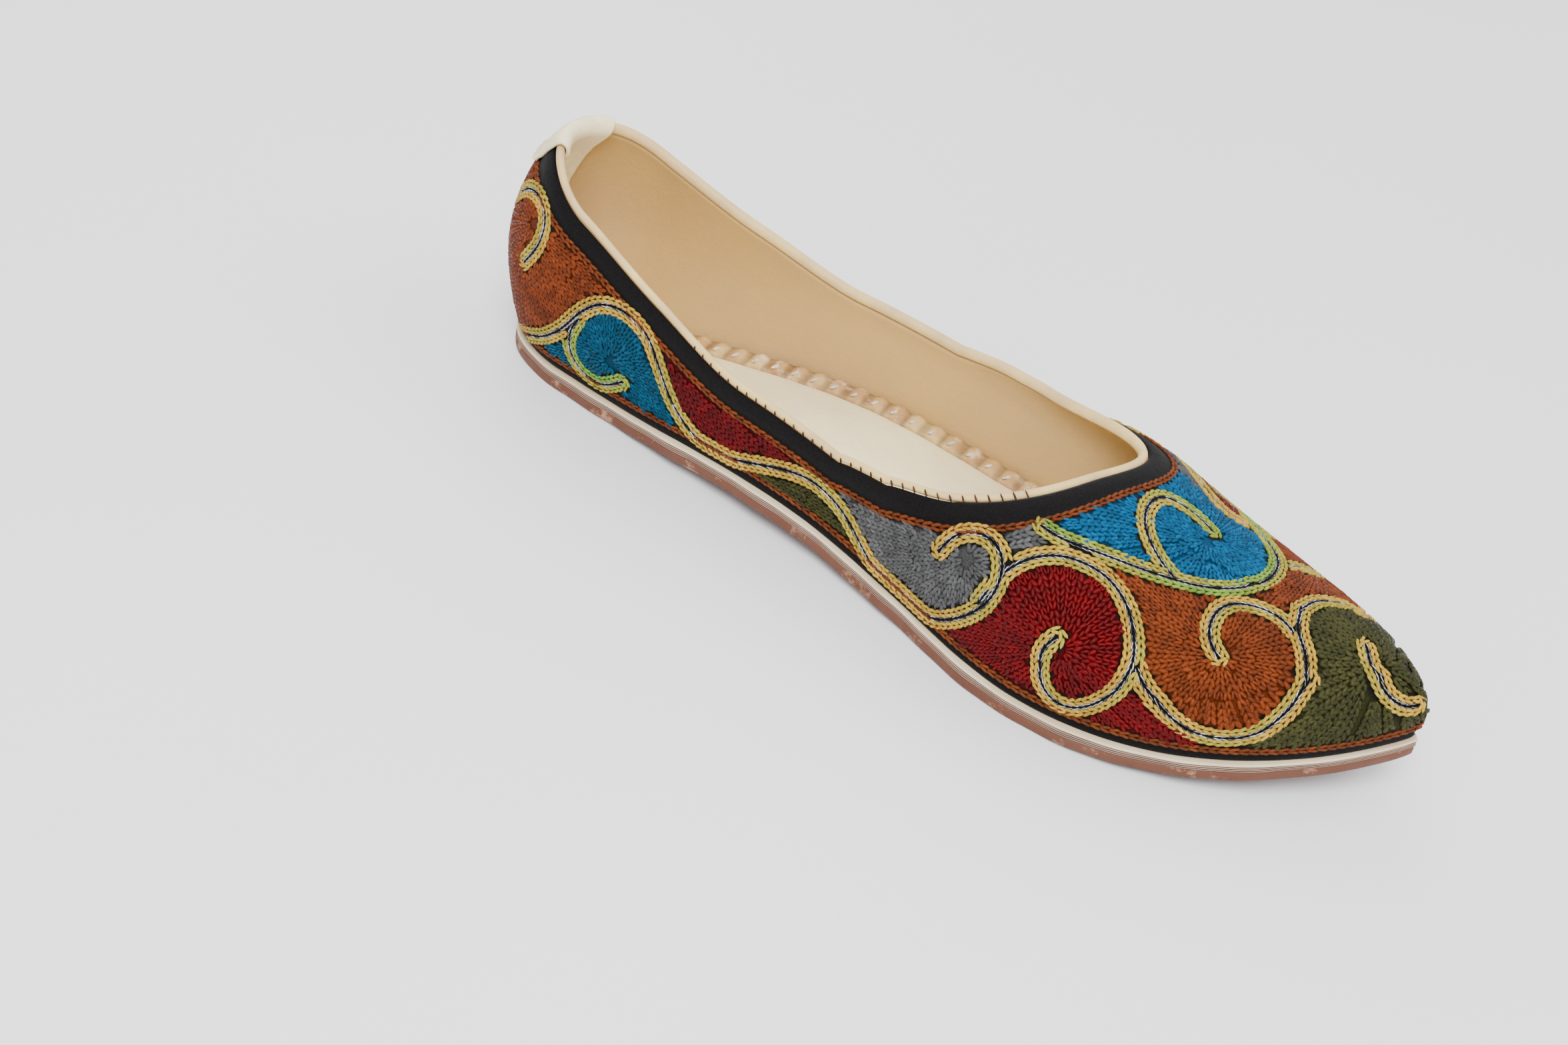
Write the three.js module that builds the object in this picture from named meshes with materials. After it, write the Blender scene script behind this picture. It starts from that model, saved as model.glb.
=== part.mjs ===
import * as THREE from "three";
import { mergeVertices } from "three/addons/utils/BufferGeometryUtils.js";

// A right mojari: a low slip-on with a pointed toe, a wide slanted throat and a thin layered sole.
// Millimetres. The heel's back is at x = 0, the toe points along +X, the outer side is -Y,
// and the shoe stands on z = 0. Heights of the upper are measured from the top of the sole.

// Sizes of the upper over its outside
const LENGTH = 254;
const HEEL_WIDTH = 48;
const BALL_WIDTH = 81;
const HEEL_ROUND = 29;
const HEEL_HEIGHT = 56;
const SIDE_HEIGHT = 25.5;
const INSTEP_HEIGHT = 40;
const BULGE_HEIGHT = 19.5;
const HEEL_TUCK = 6;
const FRONT_TUCK = 0.5;
const TOPLINE_TILT = 2.2;
const TILT_END = 0.3;

// The throat: where its sides end, where its front lies, its slant and the powers of its round corners
const THROAT_START = 120;
const THROAT_FRONT = 165;
const THROAT_SLANT = 0.37;
const THROAT_OUTER_POWER = 3;
const THROAT_INNER_POWER = 3;
const THROAT_INNER_FLARE = 4.5;
const THROAT_CLOSENESS = 3;

// The ground line: the arch under the waist and the lift of the toe
const ARCH_RISE = 4.5;
const TOE_SPRING = 12.5;

// Walls and layers
const WALL = 1.8;
const EMBROIDERY = 0.8;
const BAND_WIDTH = 5.5;
const EDGE_STRIP = 2;
const BINDING_HEIGHT = 2.2;
const BINDING_WIDTH = 2.4;
const OUTSOLE = 2.8;
const MIDSOLE = 0.8;
const WELT = 0.9;
const SOLE_LIP = 0.7;
const INSOLE = 1.4;
const STRIP_WIDTH = 5;
const STRIP_OUTER_HEIGHT = 2.8;
const STRIP_INNER_HEIGHT = 1.7;
const TAB = 0.9;
const TAB_DROP = 9.5;
const TAB_WIDTH = 22;
const TAB_LINING_END = 6;
const TOE_ROOM = 8;

// Clearance between neighbouring pieces
const GAP = 0.3;

const SOLE = OUTSOLE + MIDSOLE + WELT + 2 * GAP;
const UPPER_BASE = SOLE + GAP;
const FULL_WALL = WALL + EMBROIDERY;

// Plan: how far the outline has widened from the heel's width to the ball's, at shares of the length
const WIDENING = [
  { at: 0.11, share: 0 },
  { at: 0.27, share: 0.16 },
  { at: 0.42, share: 0.36 },
  { at: 0.55, share: 0.6 },
  { at: 0.7, share: 1 },
];
const BALL_AT = WIDENING[WIDENING.length - 1].at;
const TOE_ROUNDING = 2.26;
const TOE_POINT = 0.86;
const TOE_INSET = 1.15;

// The centre line's swing to the inner side, as a share of the ball's width
const SWING = [
  { at: 0.12, share: 0 },
  { at: 0.42, share: 0.008 },
  { at: 0.68, share: -0.036 },
  { at: 1, share: -0.01 },
];

// Topline: how far its height has risen from the side's to the heel's
const TOPLINE = [
  { at: 0, share: 1 },
  { at: 0.12, share: 0.735 },
  { at: 0.22, share: 0.41 },
  { at: 0.34, share: 0.06 },
  { at: 0.48, share: 0 },
];

// The crown that the walls lean in to: over the collar as a share of the topline's height,
// over the vamp as a share of the instep's height
const COLLAR_CROWN = [
  { at: 0, share: 1.18 },
  { at: 0.12, share: 1.39 },
  { at: 0.22, share: 1.6 },
  { at: 0.34, share: 1.93 },
  { at: 0.48, share: 1.84 },
];
const VAMP_CROWN = [
  { at: 0.48, share: 1.13 },
  { at: 0.57, share: 1.01 },
  { at: 0.67, share: 0.93 },
  { at: 0.77, share: 0.755 },
  { at: 0.88, share: 0.63 },
  { at: 1, share: 0.52 },
];
const NOSE_AT = 0.88;
const NOSE_POWER = 3;
const CROWN_MEET = { from: 0.44, to: 0.57 };
const ARCH_POWER = 1.05;

// The inner side's arch is fuller round the throat's corner: its power there, and where that begins and ends
const INNER_ARCH_POWER = 0.7;
const INNER_ARCH = { from: 0.44, full: 0.56, fade: 0.62, to: 0.8 };

// Height of the fullest line above the sole, as a share of the bulge's height
const BULGE = [
  { at: 0, share: 1.33 },
  { at: 0.4, share: 1 },
  { at: 0.6, share: 1 },
  { at: 1, share: 0.2 },
];
const TUCK_END = 0.4;
const LOWER_POWER = 1.6;
const LEAST_RADIUS = 6;

// Ground line: where the arch and the toe's lift begin and end
const ARCH_SPAN = { from: 0.13, to: 0.63 };
const SPRING_AT = 0.7;

// Sides of the sole's layers, from bottom to top: height as a share of the layer, inset as a share of the lip
const OUTSOLE_SIDE = [
  { up: 0, inset: 0.9 },
  { up: 0.22, inset: 0.1 },
  { up: 0.8, inset: 0 },
  { up: 1, inset: 0.4 },
];
const MIDSOLE_SIDE = [
  { up: 0, inset: 0.6 },
  { up: 0.2, inset: 0.15 },
  { up: 0.45, inset: 0.15 },
  { up: 0.52, inset: 0.6 },
  { up: 0.6, inset: 0.25 },
  { up: 1, inset: 0.4 },
];
const WELT_SIDE = [
  { up: 0, inset: 0.4 },
  { up: 0.25, inset: 0 },
  { up: 0.75, inset: 0 },
  { up: 1, inset: 0.5 },
];
const PLAIN_SIDE = [
  { up: 0, inset: 0 },
  { up: 0.6, inset: 0 },
  { up: 1, inset: 0.4 },
];

// The heel tab narrows to its lower corners outside, as shares of its drop, and down its lining
const TAB_FLAP = [
  { down: 1, width: 0.8 },
  { down: 0.95, width: 0.93 },
  { down: 0.9, width: 1 },
];
const TAB_LINING = [
  { down: 0.12, width: 0.95 },
  { down: 0.3, width: 0.87 },
  { down: 0.5, width: 0.78 },
  { down: 0.75, width: 0.66 },
  { down: 1, width: 0.55 },
];

// Mesh steps: columns up the sides and over the vamp, rows of the field, and where the columns
// of the vamp start beside the sole
const SIDE_COLUMNS = 18;
const VAMP_COLUMNS = 18;
const COLUMNS = Array.from({ length: SIDE_COLUMNS + VAMP_COLUMNS + 1 }, (_, i) => i);
const HEEL_CLOSENESS = 0.4;
const VAMP_FOOT_AT = 126;
const BEND_POWER = 1.5;
const NOSE_PART = 0.25;
const FIELD_STEPS = 10;
const BINDING_SIDES = 8;
const TAB_STEPS = 7;
const TAB_ROLL_STEPS = 4;
const WELD = 2e-3;

// Smooth value between a table's rows, level at both ends and without overshoot.
function follow(rows, at) {
  const last = rows.length - 1;
  if (at <= rows[0].at) return rows[0].share;
  if (at >= rows[last].at) return rows[last].share;
  const rate = (k) => (rows[k + 1].share - rows[k].share) / (rows[k + 1].at - rows[k].at);
  const slope = (k) => {
    if (k === 0 || k === last) return 0;
    const before = rate(k - 1);
    const after = rate(k);
    return before * after <= 0 ? 0 : (2 * before * after) / (before + after);
  };
  const i = rows.findIndex((row, k) => at <= rows[k + 1].at);
  const span = rows[i + 1].at - rows[i].at;
  const t = (at - rows[i].at) / span;
  const rise = t * t * (3 - 2 * t);
  const start = t * (1 - t) * (1 - t);
  const end = t * t * (t - 1);
  return (
    rows[i].share * (1 - rise) + rows[i + 1].share * rise +
    span * (start * slope(i) + end * slope(i + 1))
  );
}

const { lerp, clamp, smoothstep } = THREE.MathUtils;

// Height of the ground line over the floor.
function ground(x) {
  const at = x / LENGTH;
  const arch = clamp((at - ARCH_SPAN.from) / (ARCH_SPAN.to - ARCH_SPAN.from), 0, 1);
  const toe = clamp((at - SPRING_AT) / (1 - SPRING_AT), 0, 1);
  return ARCH_RISE * Math.sin(Math.PI * arch) ** 2 + TOE_SPRING * toe ** 2;
}

const swing = (x) => BALL_WIDTH * follow(SWING, x / LENGTH);
const bulge = (x) => BULGE_HEIGHT * follow(BULGE, x / LENGTH);

function tuck(x) {
  return lerp(HEEL_TUCK, FRONT_TUCK, smoothstep(x / LENGTH, 0, TUCK_END));
}

function toplineHeight(x) {
  return lerp(SIDE_HEIGHT, HEEL_HEIGHT, follow(TOPLINE, x / LENGTH));
}

function crown(x) {
  const at = x / LENGTH;
  const collar = toplineHeight(x) * follow(COLLAR_CROWN, at);
  const vamp = INSTEP_HEIGHT * follow(VAMP_CROWN, at);
  const height = lerp(collar, vamp, smoothstep(at, CROWN_MEET.from, CROWN_MEET.to));
  const nose = clamp((at - NOSE_AT) / (1 - NOSE_AT), 0, 1);
  return bulge(x) + (height - bulge(x)) * Math.sqrt(1 - nose ** NOSE_POWER);
}

// Half of the outline's width at x, inset from the outside.
function halfWidth(x, inset) {
  const ball = BALL_AT * LENGTH;
  if (x <= ball) return lerp(HEEL_WIDTH, BALL_WIDTH, follow(WIDENING, x / LENGTH)) / 2 - inset;
  const toe = clamp((x - ball) / (LENGTH - ball), 0, 1);
  return (BALL_WIDTH / 2 - inset) * (1 - toe ** TOE_ROUNDING) ** TOE_POINT;
}

// The outline is walked by a distance along the axis. Below zero it turns round the heel, and above
// zero it runs to the toe. It gives the spine's point and the arm from there to the outline.
const HEEL_BACK = -HEEL_ROUND;
const TOE_TIP = LENGTH - HEEL_ROUND;

function plan(walk, inset, room = 0) {
  if (walk < 0) {
    const turn = (Math.PI / 2) * (1 + walk / HEEL_ROUND);
    return {
      spine: HEEL_ROUND,
      back: (inset - HEEL_ROUND) * Math.cos(turn),
      out: (HEEL_WIDTH / 2 - inset) * Math.sin(turn),
      x: HEEL_ROUND * (1 - Math.cos(turn)),
    };
  }
  const x = HEEL_ROUND + walk;
  const ball = BALL_AT * LENGTH;
  const toe = clamp((x - ball) / (LENGTH - ball), 0, 1);
  const spine = x - TOE_INSET * inset * toe - room * toe ** 2;
  return { spine, back: 0, out: halfWidth(x, inset), x };
}

// The power of the arch from the fullest line to the ridge.
function archPower(side, x) {
  if (side < 0) return ARCH_POWER;
  const at = x / LENGTH;
  const rise = smoothstep(at, INNER_ARCH.from, INNER_ARCH.full);
  const fall = 1 - smoothstep(at, INNER_ARCH.fade, INNER_ARCH.to);
  return lerp(ARCH_POWER, INNER_ARCH_POWER, rise * fall);
}

// A point of the last. The angle is the place on the arch above the fullest line, and below zero
// it is the share of the way down from that line to the sole.
function lastPoint(side, walk, angle, inset = 0) {
  const { spine, back, out, x } = plan(walk, inset);
  const top = crown(x) - inset;
  const full = bulge(x) * (top / crown(x));
  let reach = 1;
  let height = full;
  if (angle >= 0) {
    reach = Math.max(Math.cos(angle), 0) ** archPower(side, x);
    height = full + (top - full) * Math.sin(angle);
  } else {
    const radius = Math.max(Math.hypot(back, out), LEAST_RADIUS);
    reach = 1 - (tuck(x) * (-angle) ** LOWER_POWER) / radius;
    height = full * (1 + angle);
  }
  const px = spine + back * reach;
  return new THREE.Vector3(px, side * out * reach + swing(px), height + UPPER_BASE + ground(px));
}

// The angle of the collar's wall at a drop below the topline.
function collarAngle(side, x, drop) {
  const tilt = side * TOPLINE_TILT * clamp(x / LENGTH / TILT_END, 0, 1);
  const height = toplineHeight(x) + tilt - drop;
  const full = bulge(x);
  if (height < full) return Math.max(height / full - 1, -1);
  return Math.asin(clamp((height - full) / (crown(x) - full), 0, 1));
}

// The columns of the mesh run from the sole to the rim: first up the sides, then over the vamp.
// They stand closer together round the heel.
function spread(share) {
  return share - (HEEL_CLOSENESS * Math.sin(Math.PI * share)) / Math.PI;
}

function columnDistance(i, sideLength, length) {
  if (i <= SIDE_COLUMNS) return sideLength * spread(i / SIDE_COLUMNS);
  return lerp(sideLength, length, (i - SIDE_COLUMNS) / VAMP_COLUMNS);
}

// A line round the opening, a drop below the topline, from the heel's back to the middle of the throat.
const COLLAR_PART = 0.62;
const CORNER_EASE = 0.035;
const CORNER_REACH = 0.14;

class Rim extends THREE.Curve {
  constructor(side, drop) {
    super();
    this.side = side;
    this.drop = drop;
  }

  // Walk and angle at a part of the rim, with the corner between collar and throat eased
  place(t) {
    const near = Math.max(1 - ((t - COLLAR_PART) / CORNER_REACH) ** 2, 0);
    const ease = CORNER_EASE * near ** 2;
    const before = this.sharpPlace(t - ease);
    const after = this.sharpPlace(t + ease);
    return { walk: lerp(before.walk, after.walk, 0.5), angle: lerp(before.angle, after.angle, 0.5) };
  }

  sharpPlace(t) {
    if (t < COLLAR_PART) {
      const walk = lerp(HEEL_BACK, THROAT_START - HEEL_ROUND, t / COLLAR_PART);
      return { walk, angle: collarAngle(this.side, plan(walk, 0).x, this.drop) };
    }
    const part = 1 - (1 - (t - COLLAR_PART) / (1 - COLLAR_PART)) ** THROAT_CLOSENESS;
    const x = lerp(THROAT_START, THROAT_FRONT + this.drop, part);
    const start = Math.max(collarAngle(this.side, THROAT_START, 0), 0);
    const power = this.side < 0 ? THROAT_OUTER_POWER : THROAT_INNER_POWER;
    const corner = (1 - part ** power) ** (1 / power);
    const flare = this.side < 0 ? 0 : THROAT_INNER_FLARE * part ** 2;
    const width = halfWidth(THROAT_START, 0) * Math.cos(start) ** archPower(this.side, THROAT_START);
    const y = (width + flare) * corner;
    const slanted = x + THROAT_SLANT * this.side * y * part;
    const angle = Math.acos(Math.min(y / halfWidth(slanted, 0), 1) ** (1 / archPower(this.side, slanted)));
    const closed = clamp((angle - start) / (Math.PI / 2 - start), 0, 1);
    const base = collarAngle(this.side, THROAT_START, this.drop);
    return { walk: slanted - HEEL_ROUND, angle: lerp(base, Math.PI / 2, closed) };
  }

  getPoint(t) {
    const { walk, angle } = this.place(t);
    return lastPoint(this.side, walk, angle);
  }

  column(i) {
    const lengths = this.getLengths();
    const side = lengths[Math.round(COLLAR_PART * (lengths.length - 1))];
    return this.at(columnDistance(i, side, this.getLength()));
  }

  at(distance) {
    return this.place(this.getUtoTmapping(0, distance));
  }

  columns() {
    return COLUMNS.map((i) => this.column(i));
  }
}

// A line up the wall, from a place beside the sole to a place on the rim. Towards the toe it turns
// more and more into the ridge's own line: up the nose first, and then back along the ridge.
class Column extends THREE.Curve {
  constructor(side, foot, head) {
    super();
    this.side = side;
    this.foot = foot;
    this.head = head;
    this.bend = clamp((foot - VAMP_FOOT) / (TOE_TIP - VAMP_FOOT), 0, 1) ** BEND_POWER;
  }

  place(t) {
    const rise = Math.min(t / NOSE_PART, 1);
    const run = Math.max((t - NOSE_PART) / (1 - NOSE_PART), 0);
    return {
      walk: lerp(this.foot, this.head.walk, lerp(t, run, this.bend)),
      angle: lerp(-1, this.head.angle, lerp(t, rise, this.bend)),
    };
  }

  getPoint(t) {
    const { walk, angle } = this.place(t);
    return lastPoint(this.side, walk, angle);
  }

  at(distance) {
    return this.place(this.getUtoTmapping(0, Math.min(distance, this.getLength())));
  }
}

// Corners of quads between neighbouring rows of points, as loose triangles.
function strip(faces, rows, turned = false) {
  for (let i = 0; i + 1 < rows.length; i += 1) {
    for (let j = 0; j + 1 < rows[i].length; j += 1) {
      const [a, b, c, d] = [rows[i][j], rows[i][j + 1], rows[i + 1][j + 1], rows[i + 1][j]];
      const quad = turned ? [a, c, b, a, d, c] : [a, b, c, a, c, d];
      faces.push(...quad);
    }
  }
}

// A closed body from loose triangles, without the ones that have no area.
function body(faces) {
  const loose = new THREE.BufferGeometry().setFromPoints(faces);
  const merged = mergeVertices(loose, WELD);
  const index = [];
  const corners = merged.index.array;
  for (let i = 0; i < corners.length; i += 3) {
    const [a, b, c] = [corners[i], corners[i + 1], corners[i + 2]];
    if (a !== b && b !== c && c !== a) index.push(a, b, c);
  }
  merged.setIndex(index);
  merged.computeVertexNormals();
  return merged;
}

const SIDES = [-1, 1];
const shoe = new THREE.Group();

function add(name, faces, colour, roughness) {
  const material = new THREE.MeshStandardMaterial({ color: colour, roughness, metalness: 0 });
  const mesh = new THREE.Mesh(body(faces), material);
  mesh.name = name;
  shoe.add(mesh);
}

// The outline beside the sole, walked from the heel's back to the toe's tip.
const VAMP_FOOT = VAMP_FOOT_AT - HEEL_ROUND;

class Foot extends THREE.Curve {
  getPoint(t) {
    return lastPoint(1, lerp(HEEL_BACK, TOE_TIP, t), -1);
  }

  walks() {
    const lengths = this.getLengths();
    const part = (VAMP_FOOT - HEEL_BACK) / (TOE_TIP - HEEL_BACK);
    const side = lengths[Math.round(part * (lengths.length - 1))];
    return COLUMNS.map((i) => {
      const distance = columnDistance(i, side, this.getLength());
      return lerp(HEEL_BACK, TOE_TIP, this.getUtoTmapping(0, distance));
    });
  }
}

const footWalks = new Foot().walks();

// Upper: one hollow shell. Its outside steps in by the embroidery's thickness at the velvet band
// round the opening and at the strip above the sole.
const EDGE_DROP = BINDING_HEIGHT + GAP;
const BAND_DROP = EDGE_DROP + BAND_WIDTH;
const STEP = 0.6;

// On a short column, the edge strip ends and the field starts at these shares of it
const SHORT_COLUMN = { low: 0.4, start: 0.6 };

function upper() {
  const faces = [];
  for (const side of SIDES) {
    const heads = new Rim(side, BAND_DROP).columns();
    const edges = new Rim(side, EDGE_DROP).columns();
    const outside = [];
    const inside = [];
    const band = [];
    const bandInside = [];
    heads.forEach((head, j) => {
      const column = new Column(side, footWalks[j], head);
      const total = column.getLength();
      const point = (place, inset) => lastPoint(side, place.walk, place.angle, inset);
      const start = Math.min(EDGE_STRIP + STEP, total * SHORT_COLUMN.start);
      const low = Math.min(EDGE_STRIP, total * SHORT_COLUMN.low);
      const outer = [point(column.at(0), EMBROIDERY), point(column.at(low), EMBROIDERY)];
      const inner = [point(column.at(0), FULL_WALL)];
      for (let i = 0; i <= FIELD_STEPS; i += 1) {
        const place = i === FIELD_STEPS ? head : column.at(lerp(start, total, i / FIELD_STEPS));
        outer.push(point(place, 0));
        inner.push(point(place, FULL_WALL));
      }
      outside.push(outer);
      inside.push(inner);
      const edge = edges[j];
      const mix = (t) => ({ walk: lerp(head.walk, edge.walk, t), angle: lerp(head.angle, edge.angle, t) });
      const step = mix(STEP / BAND_WIDTH);
      band.push([point(head, 0), point(step, EMBROIDERY), point(edge, EMBROIDERY)]);
      bandInside.push([point(head, FULL_WALL), point(edge, FULL_WALL)]);
    });
    const turned = side > 0;
    strip(faces, outside, !turned);
    strip(faces, inside, turned);
    strip(faces, band, !turned);
    strip(faces, bandInside, turned);
    strip(faces, [band.map((row) => row[2]), bandInside.map((row) => row[1])], turned);
    strip(faces, [outside.map((row) => row[0]), inside.map((row) => row[0])], !turned);
  }
  return faces;
}

// A flat layer under the foot: the same outline at every height, shaped by the rows of its side.
function layer({ base, thickness, inset, side, lip, room }) {
  const faces = [];
  const edge = (sign, walk, row) => {
    const { x } = plan(walk, 0);
    const { spine, back, out } = plan(walk, tuck(x) + inset + row.inset * lip, room);
    const px = spine + back;
    return new THREE.Vector3(px, sign * out + swing(px), base + row.up * thickness + ground(px));
  };
  const rings = footWalks.map((walk) => {
    const left = side.map((row) => edge(1, walk, row));
    const right = side.map((row) => edge(-1, walk, row)).reverse();
    return [...left, ...right, left[0]];
  });
  strip(faces, rings);
  return faces;
}

// The pleated strip that joins the wall to the insole, as a ring of four corners.
const STRIP_INSET = FULL_WALL + GAP;
const INSOLE_INSET = STRIP_INSET + STRIP_WIDTH + GAP;
const FLOOR_INSIDE = SOLE + GAP;

function lastingStrip() {
  const faces = [];
  const corners = [
    { inset: STRIP_INSET, up: 0 },
    { inset: STRIP_INSET, up: STRIP_OUTER_HEIGHT },
    { inset: STRIP_INSET + STRIP_WIDTH, up: STRIP_INNER_HEIGHT },
    { inset: STRIP_INSET + STRIP_WIDTH, up: 0 },
  ];
  for (const side of SIDES) {
    const rows = footWalks.map((walk) => {
      const { x } = plan(walk, 0);
      const ring = corners.map(({ inset, up }) => {
        const { spine, back, out } = plan(walk, tuck(x) + inset, TOE_ROOM);
        const px = spine + back;
        return new THREE.Vector3(px, side * out + swing(px), FLOOR_INSIDE + up + ground(px));
      });
      return [...ring, ring[0]];
    });
    strip(faces, rows, side < 0);
  }
  return faces;
}

// The rolled edge on top of the wall: an oval that follows the rim once round.
function binding() {
  const faces = [];
  const middle = EMBROIDERY + WALL / 2;
  const corners = Array.from({ length: BINDING_SIDES }, (_, k) => {
    const turn = (2 * Math.PI * k) / BINDING_SIDES;
    return {
      drop: (BINDING_HEIGHT / 2) * (1 - Math.sin(turn)),
      inset: middle - (BINDING_WIDTH / 2) * Math.cos(turn),
    };
  });
  for (const side of SIDES) {
    const lines = corners.map(({ drop, inset }) =>
      new Rim(side, drop).columns().map(({ walk, angle }) => lastPoint(side, walk, angle, inset)),
    );
    strip(faces, [...lines, lines[0]], side > 0);
  }
  return faces;
}

// The leather tab folded over the heel: down the outside, over the rolled edge and down the lining.
// Each row of its section gives a drop below the topline and an inset of the face next to the wall.
function heelTab() {
  const faces = [];
  const middle = EMBROIDERY + WALL / 2;
  const radius = BINDING_WIDTH / 2 + GAP;
  const flap = TAB_FLAP.map(({ down, width }) => ({ drop: TAB_DROP * down, inset: -GAP, width }));
  const roll = Array.from({ length: TAB_ROLL_STEPS + 1 }, (_, i) => ({
    turn: (Math.PI * i) / TAB_ROLL_STEPS,
    width: 1,
  }));
  const lining = TAB_LINING.map(({ down, width }) => ({
    drop: (HEEL_HEIGHT - TAB_LINING_END) * down,
    inset: FULL_WALL + GAP,
    width,
  }));
  const sections = [
    ...flap,
    { drop: BAND_DROP - STEP / 2, inset: -GAP, width: 1 },
    { drop: BAND_DROP - 3 * STEP, inset: middle - radius, width: 1 },
    { drop: BINDING_HEIGHT, inset: middle - radius, width: 1 },
    ...roll,
    ...lining,
  ];
  const cover = ({ drop, inset, turn, width }, across, thick) => {
    const side = across < 0 ? -1 : 1;
    let face = inset;
    let down = drop;
    if (turn === undefined) {
      face += (inset < middle ? -1 : 1) * thick;
    } else {
      face = middle - (radius + thick) * Math.cos(turn);
      down = BINDING_HEIGHT / 2 - (radius + thick) * Math.sin(turn);
    }
    const { walk, angle } = new Rim(side, down).at(Math.abs(across) * width);
    return lastPoint(side, walk, angle, face);
  };
  const columns = Array.from({ length: 2 * TAB_STEPS + 1 }, (_, i) => (TAB_WIDTH / 2) * (i / TAB_STEPS - 1));
  const near = columns.map((across) => sections.map((row) => cover(row, across, 0)));
  const far = columns.map((across) => sections.map((row) => cover(row, across, TAB)));
  strip(faces, far);
  strip(faces, near, true);
  for (const i of [0, 2 * TAB_STEPS]) strip(faces, [far[i], near[i]], i === 0);
  for (const k of [0, sections.length - 1]) {
    strip(faces, [far.map((row) => row[k]), near.map((row) => row[k])], k > 0);
  }
  return faces;
}

const underfoot = { inset: -SOLE_LIP, lip: SOLE_LIP, room: 0 };
const layers = {
  outsole: layer({ ...underfoot, base: 0, thickness: OUTSOLE, side: OUTSOLE_SIDE }),
  midsole: layer({ ...underfoot, base: OUTSOLE + GAP, thickness: MIDSOLE, side: MIDSOLE_SIDE }),
  welt: layer({ ...underfoot, base: SOLE - WELT, thickness: WELT, side: WELT_SIDE }),
  insole: layer({
    base: FLOOR_INSIDE,
    thickness: INSOLE,
    inset: INSOLE_INSET,
    side: PLAIN_SIDE,
    lip: INSOLE,
    room: TOE_ROOM,
  }),
};

add("outsole", layers.outsole, "#8a6353", 0.75);
add("midsole", layers.midsole, "#a89c90", 0.8);
add("welt", layers.welt, "#d9c6a4", 0.7);
add("upper", upper(), "#8f4524", 0.85);
add("insole", layers.insole, "#efe6cf", 0.55);
add("lasting_strip", lastingStrip(), "#b58d66", 0.7);
add("topline_binding", binding(), "#dcc9a6", 0.6);
add("heel_tab", heelTab(), "#efe2c4", 0.55);

// The origin lies on the floor under the middle of the shoe's box.
const middle = new THREE.Box3().setFromObject(shoe).getCenter(new THREE.Vector3());
shoe.position.set(-middle.x, -middle.y, 0);

export default shoe;
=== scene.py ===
"""A right mojari: a layered leather sole, a hollow velvet upper covered in chain stitch, and its linings."""

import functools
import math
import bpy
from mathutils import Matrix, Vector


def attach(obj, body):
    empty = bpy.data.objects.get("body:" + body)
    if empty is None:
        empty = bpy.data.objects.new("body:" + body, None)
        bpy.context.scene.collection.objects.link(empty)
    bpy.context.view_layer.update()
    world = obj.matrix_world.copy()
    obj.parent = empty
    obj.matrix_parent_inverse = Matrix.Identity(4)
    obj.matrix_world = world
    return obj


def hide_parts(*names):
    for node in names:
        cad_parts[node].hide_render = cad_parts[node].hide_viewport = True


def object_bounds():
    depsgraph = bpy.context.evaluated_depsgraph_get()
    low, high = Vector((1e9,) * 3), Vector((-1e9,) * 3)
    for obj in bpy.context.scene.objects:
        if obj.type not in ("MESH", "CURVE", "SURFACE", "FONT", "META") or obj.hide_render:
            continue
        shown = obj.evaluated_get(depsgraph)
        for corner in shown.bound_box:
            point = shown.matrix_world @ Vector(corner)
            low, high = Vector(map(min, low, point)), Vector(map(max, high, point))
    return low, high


bl_info = {
    "name": "Mojari shoe",
    "version": (1, 0, 0),
    "blender": (4, 5, 0),
    "location": "View3D > Sidebar > Mojari",
    "description": "Dresses the mojari's solids in leather, velvet and chain stitch",
    "category": "Object",
}

import bmesh
import bpy
import numpy as np
from bpy.props import FloatProperty, FloatVectorProperty, PointerProperty
from mathutils import Matrix, Quaternion, Vector, kdtree

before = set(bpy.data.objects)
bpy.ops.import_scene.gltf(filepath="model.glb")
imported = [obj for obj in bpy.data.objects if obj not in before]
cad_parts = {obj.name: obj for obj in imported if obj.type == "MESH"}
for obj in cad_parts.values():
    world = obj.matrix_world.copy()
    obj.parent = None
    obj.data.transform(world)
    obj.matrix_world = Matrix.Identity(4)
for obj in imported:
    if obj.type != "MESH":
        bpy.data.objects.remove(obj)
CAD_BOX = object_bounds()

MM = 0.001

# Sizes of the last, in millimetres. The heel's back is at x = 0, the toe points along +X,
# the outer side is -Y, and heights of the upper are measured from the top of the sole.
LENGTH = 254.0
HEEL_WIDTH = 48.0
BALL_WIDTH = 81.0
HEEL_ROUND = 29.0
HEEL_HEIGHT = 56.0
SIDE_HEIGHT = 25.5
INSTEP_HEIGHT = 40.0
BULGE_HEIGHT = 19.5
HEEL_TUCK = 6.0
FRONT_TUCK = 0.5
TOPLINE_TILT = 2.2
TILT_END = 0.3

THROAT_START = 120.0
THROAT_FRONT = 165.0
THROAT_SLANT = 0.37
THROAT_OUTER_POWER = 3.0
THROAT_INNER_POWER = 3.0
THROAT_INNER_FLARE = 4.5
THROAT_CLOSENESS = 3.0

ARCH_RISE = 4.5
TOE_SPRING = 12.5

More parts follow.
